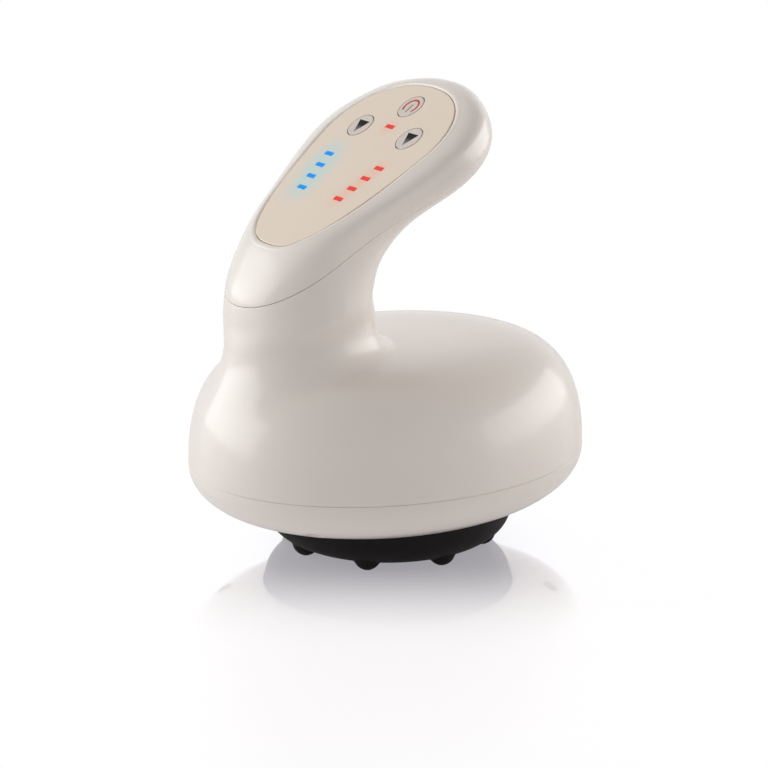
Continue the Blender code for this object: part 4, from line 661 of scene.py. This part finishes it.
def make_panel():
    """The teardrop plate with a softly rounded edge, its key holes and its light windows."""
    section = [(0, -PANEL_THICKNESS)]
    section += [(-PANEL_EDGE * (1 - cos(a)), -PANEL_EDGE * (1 - sin(a)))
                for a in np.linspace(0, pi / 2, 5)]
    panel = plate("control_panel_face", [*section, (-0.3, 0.0)], PANEL_SHARP)
    holes = [drill(KEY_RADIUS, -3, 2, 96, place, True) for place in KEYS.values()]
    holes += [window(place, 0.16, -3, 2) for row in LIGHTS.values() for place in row]
    return cut(panel, joined("holes", holes), PANEL_SHARP)


def window(place, more, low, high, edge=0.0):
    """A light's window: a block with slightly round corners, grown by a little all round."""
    ring = round_ring(LIGHT_SIZE[0] / 2 + more, LIGHT_SIZE[1] / 2 + more, 0.25, 6)
    stack = ((ring, low), (ring, high - edge), (ring * (1 - edge / norms(ring)), high))
    rows = np.array([level(plan + place, z) for plan, z in stack])
    return rows_object("window", rows, (*place, low), (*place, high), on_panel=True)


def make_lights(name, places):
    """A row of windows on the bar that joins them under the panel."""
    posts = [window(place, 0.0, -7.3, 0.02, 0.06) for place in places]
    (l0, y0), (l1, y1) = places[0], places[-1]
    ring = np.array(((l0 + 1.2, y0 - 1.45), (l0 + 1.2, y0 + 1.45), (l1 - 1.2, y1 + 1.45),
                     (l1 - 1.2, y1 - 1.45)))
    rows = np.array([level(ring, z) for z in (-2.9, -1.9)])
    bar = rows_object("bar", rows, *rows.mean(1), on_panel=True)
    return joined(name, [*posts, bar])


def key_top(radius):
    """The key's dished face: its height at a distance r from its middle, 0.01 + 0.07 (r/4.1)^2."""
    return 0.01 + 0.07 * (radius / 4.1) ** 2


def make_key(name, place):
    """A key: a dished cap with a soft edge, a flange under the panel and a boss on its switch."""
    side = KEY_RADIUS - KEY_GAP
    radius = np.linspace(0, side - KEY_EDGE, 14)
    face = np.column_stack([radius, key_top(radius)])
    turn = np.linspace(0, pi / 2, 6)[1:]
    edge = np.column_stack([side - KEY_EDGE * (1 - np.sin(turn)),
                            face[-1, 1] - KEY_EDGE * (1 - np.cos(turn))])
    low = [(side, -1.9), (5.0, -1.9), (5.0, -2.9), (1.5, -2.9), (1.5, -4.6), (0, -4.6)]
    return turned(f"{name}_key_cap", np.concatenate([face, edge, low]), 96, place, True)


def key_print(name, plan, over, place):
    """A print on a key's face: rows of points that follow the dish, over it or under it."""
    rows = np.dstack([plan, key_top(np.hypot(plan[..., 0], plan[..., 1])) + over])
    rows += (*place, 0)
    return rows_object(name, rows, rows[0].mean(0), rows[-1].mean(0), on_panel=True)


def make_arrow(name, place):
    """A plain triangle whose point is towards the neck, as rings that shrink to its middle."""
    corners = np.array(((1.85, -2.35), (1.85, 2.35), (ARROW_POINT, 0.0)))
    share = np.linspace(0, 1, 24, endpoint=False)[:, None]
    outline = np.concatenate([corners[i] * (1 - share) + corners[(i + 1) % 3] * share
                              for i in range(3)])
    middle = outline.mean(0)
    shares = np.concatenate([np.linspace(0.02, 1, 14), np.linspace(1, 0.02, 14)])
    plan = middle + (outline - middle) * shares[:, None, None]
    return key_print(name, plan, np.repeat((PRINT_TOP, PRINT_BOTTOM), 14)[:, None], place)


def strip(name, first, other, place):
    """A narrow print between two edges that run side by side."""
    plan = np.stack([first, first, other, other], axis=1)
    return key_print(name, plan, (PRINT_BOTTOM, PRINT_TOP, PRINT_TOP, PRINT_BOTTOM), place)


def make_power_sign(name, place):
    """The common power sign: an arc open towards the neck, and a stem in its opening."""
    around = ellipse(np.linspace(-radians(132), radians(132), 72), 1, 1)
    stem = np.array(((0.9, 0.0), (-2.3, 0.0)))
    return [strip(f"{name}_arc", around * 2.8, around * 2.2, place),
            strip(f"{name}_stem", stem - (0, 0.16), stem + (0, 0.16), place)]


def make_case_screw(name, place):
    """A pan-headed screw seen from below: head, cross recess and shank."""
    low, high = 19.8, 21.2
    profile = rounded([(0, low), (1.3, low), (2.2, low + 0.5), (2.2, high), (1.2, high),
                       (1.2, 28.5), (0, 29.3)], 0.25)
    screw = turned(name, profile, 48, place)
    spot = Matrix.Translation(Vector((*place, low)) * MM)
    for angle in (0, pi / 2):
        bar = rounded_box("bar", (0, 0, 0), (1.15, 0.24, 0.9), 0.05, 2)
        bar.data.transform(spot @ Matrix.Rotation(angle, 4, "Z"))
        cut(screw, bar)
    return screw


def linear(*screen):
    """A colour as the screen shows it, 0 to 255, in the light values that nodes take."""
    share = np.array(screen) / 255
    light = np.where(share <= 0.04045, share / 12.92, ((share + 0.055) / 1.055) ** 2.4)
    return (*light.tolist(), 1.0)


def feed(tree, sockets, values):
    """Gives inputs, by their names, their values: numbers, colours or other nodes' outputs."""
    for key, value in values.items():
        if isinstance(value, bpy.types.NodeSocket):
            tree.links.new(value, sockets[key])
        else:
            sockets[key].default_value = value


def new_node(tree, kind, inputs=(), **settings):
    """A shader node with its settings and its inputs."""
    node = tree.nodes.new("ShaderNode" + kind)
    for key, value in settings.items():
        setattr(node, key, value)
    feed(tree, node.inputs, dict(inputs))
    return node


def add(tree, kind, inputs=(), output=0, **settings):
    """One output of a new node."""
    return new_node(tree, kind, inputs, **settings).outputs[output]


def texture(tree, kind, scale, more=(), **settings):
    """A texture over the object's own coordinates."""
    spot = add(tree, "TexCoord", output="Object")
    return add(tree, "Tex" + kind, {"Vector": spot, "Scale": scale, **dict(more)}, **settings)


def blend(tree, share, first, second):
    """Two colours mixed by a share."""
    return add(tree, "Mix", {0: share, 6: first, 7: second}, 2, data_type="RGBA")


def shaders(tree, share, first, second):
    """Two shaders mixed by a share."""
    return add(tree, "MixShader", {0: share, 1: first, 2: second})


def calc(tree, operation, first, second):
    """One step of arithmetic on two values."""
    return add(tree, "Math", {0: first, 1: second}, operation=operation)


def measure(tree, operation, first, second=(0, 0, 0)):
    """A number from one or two vectors: a length, a distance or a dot product."""
    return add(tree, "VectorMath", {0: first, 1: second}, "Value", operation=operation)


def ramp(tree, value, low, high, to_low=0.0, to_high=1.0):
    """A value taken smoothly from one range to another."""
    return add(tree, "MapRange", {"Value": value, "From Min": low, "From Max": high,
                                  "To Min": to_low, "To Max": to_high},
               interpolation_type="SMOOTHSTEP")


def new_group(name, inputs, outputs):
    """An empty node group with its sockets, and its input and output nodes."""
    tree = bpy.data.node_groups.new(name, "ShaderNodeTree")
    for way, sockets in (("INPUT", inputs), ("OUTPUT", outputs)):
        for label, kind in sockets.items():
            tree.interface.new_socket(label, in_out=way, socket_type="NodeSocket" + kind)
    return tree, tree.nodes.new("NodeGroupInput").outputs, tree.nodes.new("NodeGroupOutput").inputs


def surface_group():
    """Shared by every finish: broad patches between two colours and two degrees of polish, and a
    fine grain as bump."""
    tree, given, out = new_group(
        "moulded_surface",
        {"Colour": "Color", "Second": "Color", "Patches": "Float", "Grain": "Float",
         "Roughness": "Float", "Depth": "Float", "Stretch": "Vector"},
        {"Colour": "Color", "Roughness": "Float", "Normal": "Vector"})
    spot = add(tree, "TexCoord", output="Object")
    spot = add(tree, "VectorMath", {0: spot, 1: given["Stretch"]}, operation="MULTIPLY")
    share = add(tree, "TexNoise", {"Vector": spot, "Scale": given["Patches"], "Detail": 3.0})
    grain = add(tree, "TexNoise", {"Vector": spot, "Scale": given["Grain"], "Detail": 5.0,
                                   "Roughness": 0.6})
    rough = calc(tree, "ADD", given["Roughness"], calc(tree, "MULTIPLY", share, 0.08))
    bump = add(tree, "Bump", {"Strength": 0.5, "Distance": given["Depth"], "Height": grain})
    feed(tree, out, {"Colour": blend(tree, share, given["Colour"], given["Second"]),
                     "Roughness": rough, "Normal": bump})
    return tree


def glow_group():
    """How much painted blue and how much painted red glow a point gets: the sum, over the windows, of
    exp(-(distance / reach)^2), the reach being 4.6 mm for blue and 2.7 mm for red."""
    tree, _, out = new_group("window_glow", {}, {"Blue": "Float", "Red": "Float"})
    spot = add(tree, "TexCoord", output="Object")
    places = {"Blue": (LIGHTS["suction"], 4.6), "Red": (np.vstack([LIGHTS["heat"], LIGHTS["power"]]), 2.7)}
    for label, (row, reach) in places.items():
        total = 0.0
        for place in row:
            away = measure(tree, "DISTANCE", spot, Vector(to_panel((*place, 0))) * MM)
            share = calc(tree, "POWER", calc(tree, "DIVIDE", away, reach * MM), 2.0)
            light = calc(tree, "EXPONENT", calc(tree, "MULTIPLY", share, -1.0), 0.0)
            total = calc(tree, "ADD", light, total)
        tree.links.new(total, out[label])
    return tree


SURFACE = surface_group()
GLOW = glow_group()


def new_material(name):
    """An empty material, its node tree and its shader's inputs."""
    material = bpy.data.materials.new(name)
    material.use_nodes = True
    tree = material.node_tree
    return material, tree, tree.nodes["Principled BSDF"].inputs


def finish_material(name, colour, second, patches, grain, roughness, depth=1e-5, more=(),
                    stretch=(1, 1, 1)):
    """A Principled material fed by the shared surface group, with more inputs set by name."""
    material, tree, shader = new_material(name)
    given = {"Colour": linear(*colour), "Second": linear(*second), "Patches": patches,
             "Grain": grain, "Roughness": roughness, "Depth": depth, "Stretch": stretch}
    surface = new_node(tree, "Group", given, node_tree=SURFACE).outputs
    feed(tree, shader, {"Base Color": surface["Colour"], "Roughness": surface["Roughness"],
                        "Normal": surface["Normal"], **dict(more)})
    return material


def opened(material):
    """A finish's node tree, its shader's inputs and the output that gives its colour."""
    tree = material.node_tree
    shader = tree.nodes["Principled BSDF"].inputs
    return tree, shader, shader["Base Color"].links[0].from_socket


def panel_material():
    """Pearly beige plastic, with a painted blue and red glow round the windows."""
    material = finish_material("pearl_panel_face", (251, 238, 221), (247, 231, 213), 30.0, 900.0,
                               0.34, 3e-6, {"Coat Weight": 0.3, "Coat Roughness": 0.15})
    tree, shader, base = opened(material)
    facing = add(tree, "LayerWeight", {"Blend": 0.35}, "Facing")
    base = blend(tree, calc(tree, "MULTIPLY", facing, 0.25), base, linear(240, 228, 212))
    glow = new_node(tree, "Group", node_tree=GLOW).outputs
    blue, red = (calc(tree, "MINIMUM", calc(tree, "MULTIPLY", glow[label], 0.9), 1.0)
                 for label in ("Blue", "Red"))
    # Painted glow: the colour turns cyan round the blue windows and pink round the red ones, and a faint
    # emission of the same hue is added there.
    base = blend(tree, calc(tree, "MULTIPLY", blue, 0.52), base, linear(176, 228, 234))
    base = blend(tree, calc(tree, "MULTIPLY", red, 0.45), base, linear(252, 178, 152))
    both = calc(tree, "ADD", red, blue)
    light = blend(tree, calc(tree, "DIVIDE", red, calc(tree, "ADD", both, 0.01)),
                  linear(120, 215, 235), linear(255, 110, 80))
    feed(tree, shader, {"Base Color": base, "Emission Color": light,
                        "Emission Strength": calc(tree, "MULTIPLY", both, 0.06)})
    return material


def lit_material(name, colour, paler):
    """A lit window: it shines in soft patches of its colour and of a slightly paler one."""
    material = finish_material(name, colour, paler, 400.0, 3000.0, 0.35, 2e-6)
    tree, shader, _ = opened(material)
    noise = texture(tree, "Noise", 700.0, {"Detail": 2.0})
    light = blend(tree, ramp(tree, noise, 0.3, 0.7, 0.0, 0.5), linear(*colour), linear(*paler))
    feed(tree, shader, {"Base Color": blend(tree, 0.9, light, (0, 0, 0, 1)),
                        "Emission Color": light, "Emission Strength": 0.92,
                        "Specular IOR Level": 0.05})
    return material


def board_material():
    """Green board with a paler web of tracks and tinned square pads."""
    material = finish_material("circuit_board_face", (28, 84, 52), (20, 66, 42), 90.0, 2500.0, 0.35)
    tree, shader, base = opened(material)
    tracks = texture(tree, "Voronoi", 420.0, feature="DISTANCE_TO_EDGE")
    pads = texture(tree, "Voronoi", 600.0, {"Randomness": 0.2}, distance="CHEBYCHEV")
    base = blend(tree, ramp(tree, tracks, 0.08, 0.05), base, linear(60, 128, 78))
    base = blend(tree, ramp(tree, pads, 0.16, 0.13), base, linear(200, 196, 186))
    tree.links.new(base, shader["Base Color"])
    return material


def foam_material():
    """Open-cell foam: grey, with small dark pits."""
    material = finish_material("foam_face", (96, 96, 98), (78, 78, 80), 200.0, 4000.0, 0.95, 1e-4)
    tree, shader, base = opened(material)
    pits = ramp(tree, texture(tree, "Voronoi", 1800.0), 0.3, 0.1)
    base = blend(tree, pits, base, linear(30, 30, 32))
    tree.links.new(base, shader["Base Color"])
    return material


def ink_material(name, colour, second):
    """Screen-printed ink: slightly uneven and almost matt."""
    return finish_material(name, colour, second, 900.0, 5000.0, 0.6, 1e-6,
                           {"Specular IOR Level": 0.15})


def arrow_ink():
    """Black ink that turns grey towards each arrow's point."""
    material = ink_material("black_ink", (10, 9, 10), (18, 16, 17))
    tree, shader, base = opened(material)
    spot = add(tree, "TexCoord", output="Object")
    near = 1.0
    for l, y in (KEYS["suction"], KEYS["heat"]):
        away = measure(tree, "DISTANCE", spot, Vector(to_panel((l + ARROW_POINT, y, 0))) * MM)
        near = calc(tree, "MINIMUM", away, near)
    base = blend(tree, ramp(tree, near, 0.3 * MM, 3.4 * MM), linear(150, 144, 138), base)
    tree.links.new(base, shader["Base Color"])
    return material


# Each plain finish: its name's second half, two colours, the scales of patches and of grain,
# roughness, the grain's depth, more inputs of its shader, and the grain's stretch
FINISHES = {
    "gloss_white": ("shell", (242, 236, 230), (240, 233, 226), 18, 700, 0.36, 2e-6,
                    {"Coat Weight": 0.85, "Coat Roughness": 0.16}),
    "black_silicone": ("skin", (14, 9, 12), (22, 17, 20), 60, 2600, 0.55, 2e-5,
                       {"Specular IOR Level": 0.16}),
    "key_grey": ("cap", (231, 224, 217), (223, 215, 208), 160, 2600, 0.32, 3e-6,
                 {"Metallic": 0.05, "Coat Weight": 0.2, "Coat Roughness": 0.15}),
    "dark_plastic": ("case", (40, 40, 44), (30, 30, 33), 120, 2200, 0.45, 1.5e-5),
    "steel": ("brushed", (176, 176, 180), (158, 158, 163), 200, 2600, 0.28, 6e-6,
              {"Metallic": 1.0}, (1, 9, 9)),
    "clear_silicone": ("tube", (226, 228, 226), (214, 218, 218), 90, 1800, 0.32, 8e-6,
                       {"Transmission Weight": 0.55}),
    "heater_film": ("face", (176, 104, 44), (150, 84, 34), 350, 2600, 0.30, 5e-6,
                    {"Metallic": 0.5}),
    "cell_wrap": ("film", (52, 104, 172), (46, 94, 160), 60, 1600, 0.28, 5e-6,
                  {"Coat Weight": 0.4}),
    "nylon": ("moulded", (222, 218, 206), (212, 207, 194), 80, 2000, 0.42, 1e-5),
    "stem_white": ("moulded", (218, 218, 212), (208, 208, 202), 220, 2600, 0.4, 8e-6),
    "lead_red": ("sleeve", (176, 34, 30), (156, 28, 26), 260, 2600, 0.45, 1e-5),
}
LOOKS = {look: finish_material(f"{look}_{ending}", *values)
         for look, (ending, *values) in FINISHES.items()}
LOOKS["pearl_panel"] = panel_material()
LOOKS["circuit_board"] = board_material()
LOOKS["foam"] = foam_material()
LOOKS["blue_light"] = lit_material("blue_light_window", (16, 144, 240), (26, 154, 246))
LOOKS["red_light"] = lit_material("red_light_window", (222, 66, 58), (230, 82, 72))
BLACK_INK = arrow_ink()
RED_INK = ink_material("red_ink", (214, 68, 60), (222, 86, 76))
STEM_INK = ink_material("stem_ink", (122, 92, 88), (132, 102, 96))


def dress(piece, body, look):
    """Gives a piece its material and puts it on its body."""
    piece.data.materials.clear()
    piece.data.materials.append(look)
    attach(piece, body)


def stand_in(piece, body, node, slot):
    """Dresses a piece and hides the frame's node that it stands for."""
    dress(piece, body, LOOKS[slot])
    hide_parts(node)


def dress_nodes():
    """Procedural materials on the frame's own nodes, by the material that each came with."""
    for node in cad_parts.values():
        for place in node.material_slots:
            place.material = LOOKS[place.material.name.split(".")[0]]


def make_pieces():
    """All new pieces, each on its body."""
    for make, node, slot in ((make_body_shell, "body_shell", "gloss_white"),
                             (make_handle_cover, "handle_cover", "gloss_white"),
                             (make_base_cover, "base_cover", "gloss_white"),
                             (make_head, "massage_head", "black_silicone"),
                             (make_filter_cap, "filter_cap", "black_silicone"),
                             (make_panel, "control_panel", "pearl_panel")):
        stand_in(make(), "housing", node, slot)
    for name, row in LIGHTS.items():
        stand_in(make_lights(f"{name}_light_windows", row), "housing", f"{name}_light_guide",
                 "blue_light" if name == "suction" else "red_light")
    for name, place in KEYS.items():
        body = f"{name}_key_body"
        stand_in(make_key(name, place), body, f"{name}_key", "key_grey")
        if name == "power":
            for sign, ink in zip(make_power_sign("power_sign", place), (RED_INK, STEM_INK)):
                dress(sign, body, ink)
        else:
            dress(make_arrow(f"{name}_arrow", place), body, BLACK_INK)
    for number, place in enumerate(CASE_SCREWS, 1):
        stand_in(make_case_screw(f"case_screw_{number}_head", place), "housing",
                 f"case_screw_{number}", "steel")


def floor_material():
    """A soft sheen near the object with a faint painted lilac glow, then white, and pale grey further
    to the sides and towards the viewer; clear from below."""
    material, tree, shader = new_material("floor_white")
    spot = add(tree, "TexCoord", output="Object")
    camera = add(tree, "LightPath", output="Is Camera Ray")
    away = measure(tree, "LENGTH", spot)
    nearer = measure(tree, "DOT_PRODUCT", spot, TO_VIEWER)
    across = calc(tree, "ABSOLUTE", measure(tree, "DOT_PRODUCT", spot, ACROSS_VIEW), 0.0)
    noise = texture(tree, "Noise", 30.0, {"Detail": 3.0})
    feed(tree, shader, {"Base Color": blend(tree, camera, (0.84, 0.84, 0.85, 1), (0.42, 0.42, 0.42, 1)),
                        "Roughness": ramp(tree, noise, 0.3, 0.7, 0.30, 0.34)})
    lift = add(tree, "Emission", {"Color": (0.98, 0.975, 1, 1),
                                  "Strength": ramp(tree, camera, 0.0, 1.0, 0.15, 0.68)})
    plain = add(tree, "AddShader", {0: tree.nodes["Principled BSDF"].outputs[0], 1: lift})
    polish = add(tree, "BsdfGlossy", {"Color": (1, 1, 1, 1),
                                      "Roughness": ramp(tree, away, 0.03, 0.14, 0.03, 0.12)})
    # A faint painted lilac glow in the reflection, seen only by the camera.
    lilac_glow = add(tree, "Emission", {"Color": (0.02, 0.01, 0.04, 1), "Strength": camera})
    sheen = add(tree, "AddShader", {0: polish, 1: lilac_glow})
    fade = calc(tree, "POWER", ramp(tree, nearer, 0.02, 0.097, 0.72, 0.0), 2.0)
    near = shaders(tree, calc(tree, "MULTIPLY", fade, camera), plain, sheen)
    beside = calc(tree, "ADD", across, calc(tree, "MULTIPLY", nearer, 0.147))
    outside = calc(tree, "MAXIMUM", ramp(tree, beside, 0.14, 0.34), ramp(tree, nearer, 0.19, 0.36))
    white = add(tree, "Emission", {"Strength": ramp(tree, outside, 0.0, 1.0, 1.0, WALL_GREY)})
    far = calc(tree, "MULTIPLY", ramp(tree, away, 0.10, 0.22), camera)
    below = add(tree, "NewGeometry", output="Backfacing")
    whole = shaders(tree, below, shaders(tree, far, near, white), add(tree, "BsdfTransparent"))
    tree.links.new(whole, tree.nodes["Material Output"].inputs["Surface"])
    return material


def make_floor():
    """A plain floor just under the object."""
    bpy.ops.mesh.primitive_plane_add(size=6, location=(0, 0, -0.0002))
    floor = bpy.context.object
    floor.name = "floor"
    floor.data.materials.append(floor_material())


def make_world():
    """A pale room: to the camera white behind the object and pale grey elsewhere, white in
    reflections, and softer as light."""
    world = bpy.data.worlds.new("studio")
    bpy.context.scene.world = world
    world.use_nodes = True
    tree = world.node_tree
    path = new_node(tree, "LightPath").outputs
    mirrored = calc(tree, "MAXIMUM", path["Is Transmission Ray"], path["Is Glossy Ray"])
    seen = calc(tree, "MAXIMUM", path["Is Camera Ray"], mirrored)
    way = measure(tree, "DOT_PRODUCT", add(tree, "TexCoord", output="Generated"), TO_VIEWER)
    soft = tree.nodes["Background"]
    feed(tree, soft.inputs, {"Color": (1.0, 0.93, 0.88, 1),
                             "Strength": ramp(tree, way, -0.1, 0.85, 0.51, 0.265)})
    behind = ramp(tree, way, -0.985, -0.955, 1.0, WALL_GREY)
    white = add(tree, "Background", {"Color": (1, 1, 1, 1),
                                     "Strength": calc(tree, "MAXIMUM", behind, mirrored)})
    whole = shaders(tree, seen, soft.outputs[0], white)
    tree.links.new(whole, tree.nodes["World Output"].inputs["Surface"])


def aim(made, place, target):
    """Puts a lamp or a camera at a place and turns it to a target, in metres."""
    made.location = place
    made.rotation_euler = (Vector(target) - Vector(place)).to_track_quat("-Z", "Y").to_euler()


def make_light(name, place, size, power, colour):
    """A soft box that faces the dome's top and is dimmer towards its ends."""
    light = bpy.data.lights.new(name, "AREA")
    light.shape = "RECTANGLE"
    light.size, light.size_y = size
    light.energy = power
    light.spread = radians(120)
    light.color = colour
    aim(placed(name, light), place, (0, 0, 0.06))


def make_camera():
    """The photograph's own view: level, 16 degrees up, 33 degrees round from the side."""
    camera = bpy.data.cameras.new("camera")
    camera.lens = 118.16
    camera.sensor_width = 36
    camera.shift_x, camera.shift_y = -0.0048, -0.0235
    made = placed("camera", camera)
    aim(made, (-0.3683, -0.5640, 0.2405), (0, 0, 0.05))
    bpy.context.scene.camera = made


dress_nodes()
make_pieces()
make_floor()
make_world()
make_light("left", (-0.78, 0.60, 0.33), (1.3, 0.62), 2.75, (0.98, 1.0, 1.0))
make_light("right", (0.92, -0.34, 0.22), (1.4, 0.43), 1.65, (1.0, 0.98, 0.96))
make_camera()
bpy.context.scene.view_settings.view_transform = "Standard"
